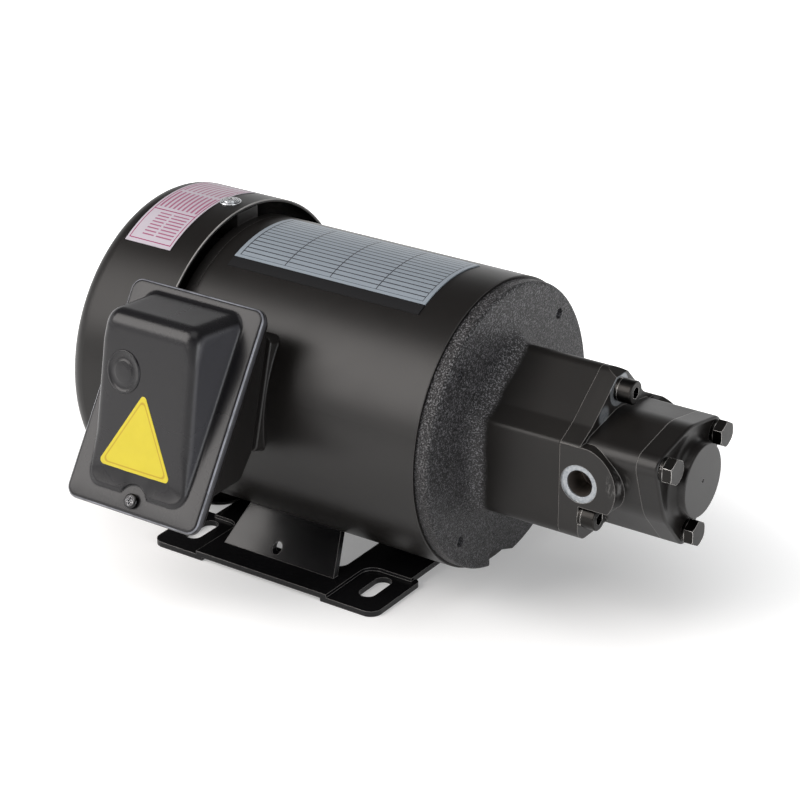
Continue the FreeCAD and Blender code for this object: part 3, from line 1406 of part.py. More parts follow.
def terminal_box_cover():
    """Moulded lid: a flat rim and a wedge shaped hood, deep at the top and shallow at the screw."""
    item, rim_pad = box_rim("terminal_box_cover", LID_BACK, "lid_rim", "0")
    face = size(LID_FACE)
    round_edges(item, rim_pad, "lid_edge", lambda edge: in_plane(edge, 2, face, 400))
    steps = ((1, 0), (0.29, 0.29), (0, 1))
    sections = [hood_foot(item, f"-hood_flare * {out}", f"{LID_FACE} + hood_flare * {up}")
                for out, up in steps]
    steps = ((0, 1), (0.134, 0.5), (0.5, 0.134), (1, 0))
    sections += [hood_front(item, f"hood_edge * {inset}", f"hood_edge * {depth}") for inset, depth in steps]
    loft(item, "AdditiveLoft", sections)
    inner = [hood_foot(item, "hood_wall", f"{LID_BACK} - 1"),
             hood_front(item, "(hood_wall + hood_edge / 3)", "hood_wall")]
    loft(item, "SubtractiveLoft", inner)
    scallop = sketch(item, offset=LID_FACE)
    circle(scallop, "-box_mid", "-lid_screw_v", "scallop_r")
    cut(item, scallop, "hood_w", ahead=True)
    hole = sketch(item, offset=LID_FACE)
    circle(hole, "-box_mid", "-lid_screw_v", "lid_screw_r + lid_screw_gap")
    cut(item, hole, "lid_rim")


def terminal_cover_screw():
    item = body("terminal_cover_screw", ON_BOX)
    shank = sketch(item, offset=f"{LID_FACE} - lid_screw_reach")
    circle(shank, "-box_mid", "-lid_screw_v", "lid_screw_r")
    pad(item, shank, "lid_screw_reach")
    head = sketch(item, offset=LID_FACE)
    circle(head, "-box_mid", "-lid_screw_v", "lid_screw_head_r")
    head_pad = pad(item, head, "lid_screw_head_len")
    top = size(f"{LID_FACE} + lid_screw_head_len")
    round_edges(item, head_pad, "lid_screw_head_len / 2", lambda edge: in_plane(edge, 2, top, 400))
    recess = sketch(item, offset=f"{LID_FACE} + lid_screw_head_len")
    cross_outline(recess, "-box_mid", "-lid_screw_v")
    cut(item, recess, "cross_deep")


def terminal_block():
    item = body("terminal_block", ON_SEAT)
    floor = "seat_plane + base_wall"
    block_y = "lead_hole_r + 2"
    block = sketch(item, offset=floor)
    box_outline(block, "-base_mid - block_len / 2", "-base_mid + block_len / 2", f"-({block_y}) - block_wide",
                f"-({block_y})", "cast_edge")
    pad(item, block, "block_high - block_step")
    for i in range(4):
        wall = sketch(item, offset=floor)
        x = f"-base_mid + stud_pitch * {i - 1.5}"
        box_outline(wall, f"{x} - block_rib / 2", f"{x} + block_rib / 2",
                    f"-({block_y}) - block_wide + 1", f"-({block_y}) - 1")
        pad(item, wall, "block_high")


def terminal_studs():
    """Three threaded studs with their nuts."""
    item = body("terminal_studs", ON_SEAT)
    top = "seat_plane + base_wall + block_high - block_step"
    y = "-(lead_hole_r + 2 + block_wide / 2)"
    for i in range(3):
        x = f"-base_mid + stud_pitch * {i - 1}"
        stud = sketch(item, offset=top)
        circle(stud, x, y, "stud_r")
        pad(item, stud, "stud_high")
        nut = sketch(item, offset=top)
        hexagon(nut, x, y, "nut_r")
        pad(item, nut, "nut_high")


def cable_grommet():
    """Rubber grommet in the level floor of the box."""
    v, w = floor_point("base_floor_len / 2", "0")
    item = body("cable_grommet", (f"({v}) * sin(box_tilt) - ({w}) * cos(box_tilt)",
                                  "base_mid - flange_ahead",
                                  f"{SHAFT_Z} + ({v}) * cos(box_tilt) + ({w}) * sin(box_tilt)",
                                  "0", "0", "0"))
    inner = "gland_r - grommet_wall"
    neck = "gland_r - fit_gap"
    brim = "gland_r + grommet_lip"
    drawing = sketch(item, "XZ_Plane")
    outline(drawing, [(inner, "-grommet_lip"), (brim, "-grommet_lip"), (brim, "0"), (neck, "0"),
                      (neck, "base_wall"), (brim, "base_wall"), (brim, "base_wall + grommet_lip"),
                      (inner, "base_wall + grommet_lip")])
    spin(item, "Revolution", drawing)


def plates():
    """Curved nameplate on the shell and label on the fan cover."""
    ring("nameplate", "shell_r", "shell_r + plate_thick", "-plate_front - plate_len", "-plate_front",
         along_shaft(spin="plate_start"), "plate_sweep")
    ring("cover_label", "cover_r + seat_gap", "cover_r + seat_gap + label_thick",
         "-label_front - label_len", "-label_front", along_shaft(spin="label_start"), "label_sweep")


# Assembly

frame_shell()
foot_plate()
front_bracket()
rear_bracket()
through_bolts()
fan_cover()
fan_cover_screws()
stator_core()
stator_windings()
rotor_core()
rotor_cage()
motor_shaft()
bearing("front", "front_bore_r", "front_out_r", "front_width", "front_back", "front_ball_r", "front_balls")
bearing("rear", "rear_bore_r", "rear_out_r", "rear_width", "rear_back", "rear_ball_r", "rear_balls")
cooling_fan()
fan_clip()
shaft_coupling()
coupling_key()
pump_shaft()
rotor_key()
inner_rotor()
outer_rotor()
pump_body()
pump_cover()
cover_bolts()
lock_washers("cover_lock_washers", "30", "bolt_circle_r", "bolt_r", "washer_r", COVER_FACE, "washer_thick")
lock_washers("body_lock_washers", "90", "screw_circle_r", "screw_shank_r", "ear_washer_r", "screw_seat",
             "ear_washer")
body_screws()
small_pump_parts()
terminal_box_seat()
terminal_box_base()
terminal_box_gasket()
terminal_box_cover()
terminal_cover_screw()
terminal_block()
terminal_studs()
cable_grommet()
plates()
doc.recompute()


# Checks and export

def check_cuts(piece):
    """Stop if a cut of a body took nothing away or a pad added nothing."""
    for step in getattr(piece, "Group", []):
        base = getattr(step, "BaseFeature", None)
        if base is not None and abs(base.Shape.Volume - step.Shape.Volume) < 1e-3:
            raise ValueError(f"{step.Label} of {piece.Label} changes nothing")


for thing in doc.Objects:
    if "Invalid" in thing.State or "Error" in thing.State:
        raise ValueError(f"{thing.Label} failed: {thing.State}")
os.makedirs("parts", exist_ok=True)
for piece in PIECES:
    if piece.Shape.isNull() or not piece.Shape.isValid() or not piece.Shape.Solids:
        raise ValueError(f"{piece.Label} has no valid solid")
    check_cuts(piece)
    piece.Shape.exportStep(f"parts/{piece.Label}.step")
print(f"{len(PIECES)} pieces written")
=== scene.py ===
import bmesh
import bpy
import math
from mathutils import Matrix, Vector
from mathutils.bvhtree import BVHTree

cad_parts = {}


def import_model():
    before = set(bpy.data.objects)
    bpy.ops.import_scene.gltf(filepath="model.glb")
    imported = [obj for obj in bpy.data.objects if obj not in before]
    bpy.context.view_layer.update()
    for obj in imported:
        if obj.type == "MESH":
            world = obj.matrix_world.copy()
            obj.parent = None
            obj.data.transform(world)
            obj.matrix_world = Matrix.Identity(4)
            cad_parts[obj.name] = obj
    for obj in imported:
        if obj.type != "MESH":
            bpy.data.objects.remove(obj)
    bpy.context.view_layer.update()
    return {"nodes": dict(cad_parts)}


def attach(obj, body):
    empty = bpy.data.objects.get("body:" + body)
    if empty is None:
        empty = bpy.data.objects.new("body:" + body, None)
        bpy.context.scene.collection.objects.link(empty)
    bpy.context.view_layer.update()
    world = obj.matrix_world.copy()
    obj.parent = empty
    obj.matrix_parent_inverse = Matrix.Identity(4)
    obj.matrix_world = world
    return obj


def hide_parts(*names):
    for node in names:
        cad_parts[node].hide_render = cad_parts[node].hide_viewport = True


# Looks of the trochoid pump unit, in metres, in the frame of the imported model:
# +Z up, shaft along Y at the shaft height, pump towards -Y, terminal box on the -X side.

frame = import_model()
NODES = frame["nodes"]
HOME = "housing"

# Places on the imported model
SHAFT_Z = 0.092
FLANGE_Y = -0.111
COVER_RIM_Y = 0.0640
COVER_SCREW_Y = 0.0760
COVER_R = 0.0903
PORT_Y = FLANGE_Y - 0.066
RING_R = 0.0106
BOSS_X = 0.0374
TOP_SCREW_Z = SHAFT_Z + 0.0392

# Axes of the terminal box: along the shaft from its middle, up the box, and out of it
LID_MID_Y = 0.0335
BOX_TILT = math.radians(32.7)
HOOD_TILT = math.radians(21.6)
UP_LID = Vector((math.sin(BOX_TILT), 0.0, math.cos(BOX_TILT)))
OUT_OF_BOX = Vector((-math.cos(BOX_TILT), 0.0, math.sin(BOX_TILT)))
OUT = (OUT_OF_BOX * math.cos(HOOD_TILT) - UP_LID * math.sin(HOOD_TILT)).normalized()
RIM_BACK = 0.1045
RIM_FACE = 0.1090


# Shader helpers

class Look:
    """Node material with short calls for the nodes that it uses."""

    def __init__(self, name, color, roughness, metallic=0.0, specular=0.30):
        self.material = bpy.data.materials.new(name)
        self.material.use_nodes = True
        self.tree = self.material.node_tree
        self.shader = self.tree.nodes["Principled BSDF"]
        self.shader.inputs["Base Color"].default_value = (*color, 1.0)
        self.shader.inputs["Roughness"].default_value = roughness
        self.shader.inputs["Metallic"].default_value = metallic
        self.shader.inputs["Specular IOR Level"].default_value = 0.5 if metallic else specular
        self.place = self.node("ShaderNodeTexCoord").outputs["Object"]
        self.height = None

    def node(self, kind, **values):
        item = self.tree.nodes.new(kind)
        for name, value in values.items():
            setattr(item, name, value)
        return item

    def feed(self, socket, value):
        if isinstance(value, bpy.types.NodeSocket):
            self.tree.links.new(value, socket)
        elif value is not None:
            socket.default_value = value

    def set(self, name, value):
        self.feed(self.shader.inputs[name], value)

    def calc(self, operation, a, b=None, c=None):
        item = self.node("ShaderNodeMath", operation=operation)
        for socket, value in zip(item.inputs, (a, b, c)):
            self.feed(socket, value)
        return item.outputs[0]

    def times(self, first, *others):
        for other in others:
            first = self.calc("MULTIPLY", first, other)
        return first

    def split(self, vector):
        item = self.node("ShaderNodeSeparateXYZ")
        self.feed(item.inputs[0], vector)
        return item.outputs

    def axes(self):
        return self.split(self.place)

    def noise(self, scale, detail=4.0, rough=0.55, squeeze=None):
        """Noise with features of about one over scale metres."""
        where = self.place
        if squeeze is not None:
            mapping = self.node("ShaderNodeMapping")
            mapping.inputs["Scale"].default_value = squeeze
            self.feed(mapping.inputs["Vector"], where)
            where = mapping.outputs[0]
        item = self.node("ShaderNodeTexNoise")
        self.feed(item.inputs["Vector"], where)
        item.inputs["Scale"].default_value = scale
        item.inputs["Detail"].default_value = detail
        item.inputs["Roughness"].default_value = rough
        return item.outputs["Fac"]

    def cells(self, scale):
        item = self.node("ShaderNodeTexVoronoi")
        self.feed(item.inputs["Vector"], self.place)
        item.inputs["Scale"].default_value = scale
        return item.outputs["Distance"]

    def ramp(self, value, low, high, start=0.0, end=1.0):
        item = self.node("ShaderNodeMapRange", interpolation_type="SMOOTHSTEP")
        for socket, number in zip(item.inputs, (value, low, high, start, end)):
            self.feed(socket, number)
        return item.outputs[0]

    def mix(self, share, first, second):
        item = self.node("ShaderNodeMix", data_type="RGBA")
        self.feed(item.inputs["Factor"], share)
        for name, value in (("A", first), ("B", second)):
            socket = next(s for s in item.inputs if s.name == name and s.type == "RGBA")
            self.feed(socket, (*value, 1.0) if isinstance(value, tuple) else value)
        return next(s for s in item.outputs if s.type == "RGBA")

    def bump(self, value, distance):
        """Add a layer of relief; distance is its height in metres."""
        item = self.node("ShaderNodeBump")
        item.inputs["Strength"].default_value = 1.0
        item.inputs["Distance"].default_value = distance
        self.feed(item.inputs["Height"], value)
        if self.height is not None:
            self.feed(item.inputs["Normal"], self.height)
        self.height = item.outputs[0]
        self.set("Normal", self.height)

    def soft_edges(self, radius):
        """Start the relief from edges that read as slightly rounded."""
        item = self.node("ShaderNodeBevel", samples=6)
        item.inputs["Radius"].default_value = radius
        self.height = item.outputs[0]
        self.set("Normal", self.height)

    def painted_edge_highlight(self, radius, low=0.004, high=0.05):
        """1 on outer and inner edges, where the rounded normal leaves the true one: the mask of a painted
        highlight along edges.
        """
        item = self.node("ShaderNodeBevel", samples=6)
        item.inputs["Radius"].default_value = radius
        true = self.node("ShaderNodeNewGeometry").outputs["Normal"]
        product = self.node("ShaderNodeVectorMath", operation="DOT_PRODUCT")
        self.feed(product.inputs[0], item.outputs[0])
        self.feed(product.inputs[1], true)
        return self.ramp(self.calc("SUBTRACT", 1.0, product.outputs["Value"]), low, high)

    def along(self, point, direction=None):
        """Distance from a line through a point along one axis, or from the point itself."""
        terms = [self.calc("POWER", self.calc("SUBTRACT", value, point[axis]), 2.0)
                 for axis, value in enumerate(self.axes()) if axis != direction]
        total = terms[0]
        for term in terms[1:]:
            total = self.calc("ADD", total, term)
        return self.calc("SQRT", total)


def scaled(color, factor, shift=0.0):
    return tuple(c * factor + shift for c in color)


# Pale tone of the painted highlight along the edges of enamel
EDGE_HIGHLIGHT_TONE = (0.16, 0.155, 0.15)


def enamel(name, color, roughness, grain=0.000012, dust=0.2, edge=0.0008, rim=0.0, specular=0.30):
    """Sprayed paint: orange peel, faint cloudiness, settled dust, and a painted highlight along its edges.
    """
    look = Look(name, color, roughness, specular=specular)
    look.soft_edges(edge)
    cloud = look.noise(38.0, 5.0)
    dusty = look.times(look.ramp(look.noise(150.0, 6.0, 0.7), 0.60, 0.80), dust)
    tone = look.mix(look.times(cloud, 0.5), color, scaled(color, 1.6))
    tone = look.mix(look.times(dusty, 0.4), tone, scaled(color, 2.4, 0.01))
    # rim is the share of a painted highlight along the edges
    if rim:
        tone = look.mix(look.times(look.painted_edge_highlight(0.0005), rim), tone, EDGE_HIGHLIGHT_TONE)
    look.set("Base Color", tone)
    rough = look.calc("MULTIPLY_ADD", cloud, 0.10, roughness - 0.05)
    look.set("Roughness", look.calc("MULTIPLY_ADD", dusty, 0.25, rough))
    look.bump(look.noise(900.0, 3.0), grain)
    look.bump(look.noise(2600.0, 2.0), grain * 0.4)
    return look


def metal(name, color, roughness, lines=None, rim=None):
    """Metal with fine tool marks squeezed along one axis, and a painted highlight of another colour along
    its edges.
    """
    look = Look(name, color, roughness, 1.0)
    look.soft_edges(0.0003)
    marks = look.noise(500.0, 4.0, 0.6, squeeze=lines)
    tone = look.mix(look.times(look.noise(90.0, 5.0), 0.5), color, scaled(color, 0.72))
    # rim is the colour of a painted highlight along the edges
    if rim is not None:
        tone = look.mix(look.times(look.painted_edge_highlight(0.0004), 0.8), tone, rim)
    look.set("Base Color", tone)
    look.set("Roughness", look.calc("MULTIPLY_ADD", marks, 0.22, roughness - 0.08))
    look.bump(marks, 0.000006)
    return look


# Materials of the castings and housings

BLACK = (0.0070, 0.0062, 0.0058)
CLOUDED = (0.0130, 0.0115, 0.0105)


def cover_look():
    """Enamel of the fan cover, paler in a patchy band along the outer edge of its open rim."""
    look = enamel("cover_enamel", BLACK, 0.38, 0.00001, rim=0.7, specular=0.23)
    paint = look.shader.inputs["Base Color"].links[0].from_socket
    x, y, z = look.axes()
    front = look.ramp(y, COVER_RIM_Y + 0.0004, COVER_RIM_Y + 0.0008, 1.0, 0.0)
    outer = look.ramp(look.along((0.0, 0.0, SHAFT_Z), 1), COVER_R - 0.0007, COVER_R - 0.0005)
    patchy = look.ramp(look.noise(55.0, 4.0), 0.30, 0.60, 0.45, 0.90)
    look.set("Base Color", look.mix(look.times(front, outer, patchy), paint, (0.40, 0.39, 0.38)))
    return look


def casting_look():
    """Flange rough from the mould, with bright specks painted as glints, more of them towards the top as
    painted light, a painted highlight on the fillet at the neck's root, and its grain darker in the low
    spots as painted shade; neck smooth under the same black paint.
    """
    look = Look("front_casting", BLACK, 0.42, specular=0.24)
    look.soft_edges(0.0012)
    x, y, z = look.axes()
    wander = look.times(look.calc("SUBTRACT", look.noise(60.0, 4.0), 0.5), 0.007)
    edge = look.calc("ADD", y, wander)
    rough_zone = look.ramp(edge, FLANGE_Y - 0.0115, FLANGE_Y - 0.0065)
    # root: band on the fillet at the neck's root, which carries a painted highlight
    root = look.times(rough_zone, look.ramp(edge, FLANGE_Y - 0.0060, FLANGE_Y - 0.0005, 1.0, 0.0))
    pits = look.noise(950.0, 5.0, 0.8)
    crumbs = look.ramp(look.cells(1100.0), 0.10, 0.42, 1.0, 0.0)
    grain = look.calc("ADD", look.times(pits, 0.8), look.times(look.noise(330.0, 3.0, 0.6), 0.4))
    grain = look.calc("MULTIPLY_ADD", crumbs, 0.25, grain)
    # Bright specks that paint glints
    painted_glints = look.ramp(look.noise(1150.0, 2.0, 0.6), 0.52, 0.64)
    # More painted glints towards the top, as painted light from above
    high = look.ramp(z, 0.060, 0.165)
    share = look.calc("MULTIPLY_ADD", root, 0.28, look.calc("MULTIPLY_ADD", high, 0.14, 0.12))
    # Grain tone, darker in the low spots of the relief as painted shade
    rough_tone = look.mix(look.ramp(pits, 0.44, 0.64), (0.003, 0.003, 0.0033), (0.048, 0.046, 0.048))
    rough_tone = look.mix(look.times(painted_glints, share), rough_tone, (0.60, 0.59, 0.62))
    # Painted highlight on the fillet at the neck's root
    rough_tone = look.mix(look.times(root, 0.35), rough_tone, (0.075, 0.072, 0.072))
    smooth_tone = look.mix(look.noise(45.0, 4.0), BLACK, CLOUDED)
    look.set("Base Color", look.mix(rough_zone, smooth_tone, rough_tone))
    rough = look.calc("MULTIPLY_ADD", rough_zone, 0.06, 0.38)
    look.set("Roughness", look.calc("MULTIPLY_ADD", root, -0.06, rough))
    look.bump(look.times(grain, rough_zone), 0.00050)
    look.bump(look.noise(500.0, 3.0), 0.000016)
    return look


BARE = (0.34, 0.355, 0.37)
BARE_DARK = (0.25, 0.27, 0.29)
# Centre of a painted highlight on the blend beside the port boss
PAINTED_HIGHLIGHT_AT = (-0.0360, -0.1970, 0.0960)
MILLED_AT = (-0.0150, 0.0, 0.1215)


def pump_look():
    """Painted casting with a bare spot face and bore at each port, bare screw seats, and painted highlights
    along its edges and on the blend beside the port boss.
    """
    look = Look("pump_casting", BLACK, 0.36)
    look.soft_edges(0.0006)
    x, y, z = look.axes()
    out = look.calc("ABSOLUTE", x)
    near = look.along((0.0, PORT_Y, SHAFT_Z), 0)
    ring = look.times(look.ramp(near, RING_R - 0.0001, RING_R + 0.0001, 1.0, 0.0),
                      look.ramp(out, BOSS_X - 0.0002, BOSS_X + 0.0002),
                      look.ramp(near, 0.0070, 0.0076))
    bore = look.times(look.ramp(near, 0.0078, 0.0080, 1.0, 0.0),
                      look.ramp(out, BOSS_X, BOSS_X + 0.0006, 1.0, 0.0))
    ledge = look.times(look.ramp(y, PORT_Y - 0.0004, PORT_Y - 0.0002),
                       look.ramp(y, PORT_Y + 0.0002, PORT_Y + 0.0004, 1.0, 0.0))
    seat = look.ramp(look.along((0.0, 0.0, TOP_SCREW_Z), 1), 0.0090, 0.0096, 1.0, 0.0)
    milled = look.ramp(look.along(MILLED_AT, 1), 0.0030, 0.0062, 1.0, 0.0)
    seats = look.calc("MAXIMUM", look.times(seat, ledge), look.times(milled, ledge))
    bare = look.calc("MAXIMUM", ring, look.times(seats, 0.8))
    cloud = look.noise(45.0, 5.0)
    # Painted highlight along the edges and seams
    tone = look.mix(look.times(look.painted_edge_highlight(0.0006), 0.75), look.mix(cloud, BLACK, CLOUDED),
                    (0.25, 0.24, 0.23))
    tone = look.mix(bore, tone, (0.16, 0.14, 0.125))
    # Painted highlight on the blend beside the port boss
    painted_highlight = look.times(look.ramp(look.along(PAINTED_HIGHLIGHT_AT), 0.0035, 0.0085, 1.0, 0.0),
                        look.ramp(look.noise(160.0, 5.0, 0.7, squeeze=(1.0, 1.0, 0.4)), 0.44, 0.60))
    tone = look.mix(look.times(painted_highlight, 0.7), tone, (0.22, 0.215, 0.21))
    mottled = look.mix(look.ramp(look.noise(700.0, 4.0, 0.7), 0.42, 0.6), BARE, BARE_DARK)
    look.set("Base Color", look.mix(bare, tone, mottled))
    look.set("Metallic", look.times(look.calc("MAXIMUM", bare, bore), 0.7))
    look.set("Roughness", look.calc("MULTIPLY_ADD", cloud, 0.16, 0.28))
    look.bump(look.noise(420.0, 4.0), 0.00002)
    return look


def hood_look(name="moulded_lid", edge=0.0012):
    """Satin moulded plastic with a very fine spark grain, faces turned along the shaft painted paler as a
    painted highlight, and a painted highlight in a band along the rim's edge.
    """
    look = Look(name, (0.009, 0.0085, 0.0095), 0.30)
    look.soft_edges(edge)
    cloud = look.noise(30.0, 4.0)
    x, y, z = look.axes()
    level = look.times(look.calc("SUBTRACT", z, SHAFT_Z), math.sin(BOX_TILT))
    level = look.calc("MULTIPLY_ADD", x, -math.cos(BOX_TILT), level)
    # Painted highlight in a band along the rim's edge
    painted_highlight = look.times(band(look, level, RIM_FACE - 0.0011, RIM_FACE - 0.0004),
                        look.ramp(look.noise(90.0, 4.0), 0.30, 0.60, 0.35, 0.80))
    facing = look.split(look.node("ShaderNodeNewGeometry").outputs["Normal"])
    # Faces turned along the shaft, painted paler as a painted highlight
    side = look.ramp(look.calc("ABSOLUTE", facing[1]), 0.75, 0.97)
    tone = look.mix(cloud, (0.007, 0.0066, 0.0078), (0.012, 0.0115, 0.013))
    tone = look.mix(side, tone, (0.052, 0.052, 0.058))
    look.set("Base Color", look.mix(painted_highlight, tone, (0.30, 0.31, 0.35)))
    look.set("Roughness", look.calc("MULTIPLY_ADD", cloud, 0.08, 0.23))
    look.bump(look.noise(3200.0, 2.0), 0.000008)
    look.bump(look.cells(1500.0), 0.000006)
    return look


# Prints that lie round the shaft, in degrees from +X and metres along Y

def plate_angle(look):
    """Angle round the shaft in degrees, 0 towards +X and 90 straight up, and the place along Y."""
    x, y, z = look.axes()
    turn = look.calc("ARCTAN2", look.calc("SUBTRACT", z, SHAFT_Z), x)
    return look.times(turn, 180.0 / math.pi), y


def stripes(look, value, pitch, width, shift=0.0):
    """Lines of a width at every pitch of a value."""
    step = look.calc("FRACT", look.calc("MULTIPLY_ADD", value, 1.0 / pitch, shift / pitch + 100.0))
    return look.calc("LESS_THAN", step, width / pitch)


def band(look, value, low, high):
    return look.times(look.calc("GREATER_THAN", value, low), look.calc("LESS_THAN", value, high))


PLATE_TURNS, PLATE_SPAN = (78.0, 112.6), (-0.0755, 0.0455)
STRIP_TURN = 114.0


def nameplate_look():
    """Printed foil with blank ruled fields and a bare black strip along its lower edge."""
    look = Look("printed_foil", (0.34, 0.38, 0.43), 0.40, 0.0, 0.4)
    angle, y = plate_angle(look)
    foil = look.mix(look.noise(800.0, 3.0, squeeze=(1.0, 0.04, 1.0)), (0.27, 0.31, 0.355),
                    (0.34, 0.385, 0.43))
    inside = look.times(band(look, angle, *PLATE_TURNS), band(look, y, *PLATE_SPAN))
    rows = stripes(look, angle, 2.4, 0.46, 0.4)
    columns = stripes(look, y, 0.0301, 0.0006, 0.0155)
    ruled = look.times(look.calc("MAXIMUM", rows, columns), inside)
    ink = look.mix(ruled, foil, (0.035, 0.035, 0.042))
    strip = look.calc("GREATER_THAN", angle, STRIP_TURN)
    look.set("Base Color", look.mix(strip, ink, (0.007, 0.007, 0.008)))
    look.set("Metallic", look.times(look.calc("SUBTRACT", 1.0, strip), 0.30))
    look.bump(look.noise(300.0, 2.0), 0.00003)
    return look


FRAME_TURNS, FRAME_SPAN = (73.5, 121.5), (0.0818, 0.1112)
FRAME_TURN, FRAME_LINE = 0.4, 0.0006
CELL_TURNS = (105.4, 105.9)
LONG_PITCH, SHORT_PITCH = 0.0031, 1.6


def label_look():
    """Printed film: white with a magenta frame, rules and cells, all blank."""
    look = Look("printed_film", (0.50, 0.46, 0.50), 0.42)
    angle, y = plate_angle(look)
    inside = look.times(band(look, angle, *FRAME_TURNS), band(look, y, *FRAME_SPAN))
    core = look.times(band(look, angle, FRAME_TURNS[0] + FRAME_TURN, FRAME_TURNS[1] - FRAME_TURN),
                      band(look, y, FRAME_SPAN[0] + FRAME_LINE, FRAME_SPAN[1] - FRAME_LINE))
    border = look.calc("SUBTRACT", inside, core)
    cell = look.times(band(look, angle, *CELL_TURNS), core)
    left = look.times(stripes(look, y, LONG_PITCH, 0.0011), band(look, angle, 76.0, 90.0))
    right = look.times(stripes(look, y, LONG_PITCH, 0.0014, 0.0004), band(look, angle, 91.5, 104.0))
    columns = look.calc("MAXIMUM", band(look, y, 0.0840, 0.0950), band(look, y, 0.0965, 0.1045))
    low = look.times(stripes(look, angle, SHORT_PITCH, 0.6), band(look, angle, 107.0, 119.8), columns)
    rows = look.times(look.calc("MAXIMUM", look.calc("MAXIMUM", left, right), low), core)
    lines = look.calc("MAXIMUM", look.calc("MAXIMUM", border, cell), look.times(rows, 0.8))
    film = look.mix(look.noise(60.0, 3.0), (0.41, 0.375, 0.42), (0.48, 0.44, 0.49))
    look.set("Base Color", look.mix(lines, film, (0.27, 0.025, 0.11)))
    look.bump(look.noise(400.0, 2.0), 0.00002)
    return look


def sticker_look():
    """Yellow vinyl with a thin amber line inside its edge."""
    look = Look("yellow_vinyl", (0.75, 0.56, 0.02), 0.38, 0.0, 0.4)
    share = look.node("ShaderNodeSeparateColor")
    look.feed(share.inputs[0], look.node("ShaderNodeVertexColor", layer_name="edge_share").outputs["Color"])
    depth = share.outputs[0]
    amber = look.times(look.ramp(depth, 0.10, 0.12), look.ramp(depth, 0.15, 0.17, 1.0, 0.0))
    vinyl = look.mix(look.noise(120.0, 4.0), (0.50, 0.41, 0.018), (0.58, 0.48, 0.026))
    look.set("Base Color", look.mix(amber, vinyl, (0.40, 0.27, 0.01)))
    look.bump(look.noise(500.0, 3.0), 0.00001)
    return look


def rubber_look():
    look = Look("moulded_rubber", (0.018, 0.018, 0.018), 0.62)
    look.soft_edges(0.0004)
    look.set("Roughness", look.calc("MULTIPLY_ADD", look.noise(200.0), 0.2, 0.52))
    look.bump(look.noise(1200.0, 4.0), 0.00002)
    return look


def winding_look():
    look = Look("lacquered_wire", (0.36, 0.13, 0.05), 0.32, 0.6)
    look.bump(look.noise(260.0, 2.0, squeeze=(1.0, 9.0, 1.0)), 0.0003)
    look.set("Base Color", look.mix(look.noise(180.0), (0.30, 0.10, 0.04), (0.46, 0.19, 0.08)))
    return look


def dress(look, *names):
    for name in names:
        slots = NODES[name].data.materials
        slots.clear()
        slots.append(look.material)


GLOSS = (0.005, 0.005, 0.0055)
# Screw metals, each with the colour of a painted highlight along its edges
OXIDE, OXIDE_EDGE_HIGHLIGHT = (0.022, 0.021, 0.020), (0.66, 0.64, 0.62)
DARK_ZINC, DARK_ZINC_EDGE_HIGHLIGHT = (0.030, 0.030, 0.031), (0.60, 0.60, 0.62)
ZINC = (0.62, 0.63, 0.65)

dress(enamel("satin_enamel", BLACK, 0.36, rim=0.4), "frame_shell")
dress(cover_look(), "fan_cover")
dress(enamel("box_enamel", BLACK, 0.42, 0.00003, edge=0.0012, rim=0.25), "terminal_box_base")
dress(enamel("shield_enamel", BLACK, 0.45, 0.00004), "rear_bracket")
dress(enamel("gloss_enamel", GLOSS, 0.20, 0.000008, 0.3, rim=0.9), "foot_plate")
dress(casting_look(), "front_bracket")
dress(pump_look(), "pump_body")
dress(enamel("end_enamel", BLACK, 0.32, 0.000014, rim=0.8), "pump_cover")
dress(hood_look(), "terminal_box_cover")
dress(nameplate_look(), "nameplate")
dress(label_look(), "cover_label")
dress(metal("black_oxide", OXIDE, 0.30, rim=OXIDE_EDGE_HIGHLIGHT), "cover_bolts", "cover_lock_washers",
      "body_screws", "body_lock_washers")
dress(metal("dark_zinc", DARK_ZINC, 0.20, rim=DARK_ZINC_EDGE_HIGHLIGHT), "terminal_cover_screw")
dress(metal("bright_zinc", ZINC, 0.22), "fan_cover_screws", "through_bolts", "fan_clip",
      "wave_washer", "coupling_key", "rotor_key")
dress(metal("turned_steel", (0.50, 0.50, 0.51), 0.28, (1.0, 12.0, 1.0)), "motor_shaft", "pump_shaft",
      "shaft_coupling")
dress(metal("lamination_steel", (0.32, 0.32, 0.33), 0.42, (1.0, 40.0, 1.0)), "stator_core", "rotor_core")
dress(metal("bearing_steel", (0.62, 0.62, 0.64), 0.14), "front_bearing_inner_ring",
      "front_bearing_outer_ring", "front_bearing_balls", "front_bearing_cage",
      "rear_bearing_inner_ring", "rear_bearing_outer_ring", "rear_bearing_balls", "rear_bearing_cage")
dress(metal("sintered_steel", (0.36, 0.36, 0.37), 0.40), "inner_rotor", "outer_rotor")
dress(metal("cast_aluminium", (0.60, 0.60, 0.61), 0.38), "rotor_cage")
dress(metal("sintered_bronze", (0.45, 0.27, 0.12), 0.38), "body_bush", "cover_bush")
dress(metal("turned_brass", (0.62, 0.45, 0.18), 0.26), "terminal_studs")
dress(rubber_look(), "shaft_seal", "cover_seal_ring", "terminal_box_gasket", "cable_grommet")
dress(winding_look(), "stator_windings")
dress(enamel("fan_plastic", (0.02, 0.02, 0.02), 0.5, 0.00002), "cooling_fan")
dress(enamel("phenolic", (0.05, 0.03, 0.02), 0.45, 0.00002), "terminal_block")


# Pieces made of rings of points


def circle(count):
    return [math.tau * n / count for n in range(count)]


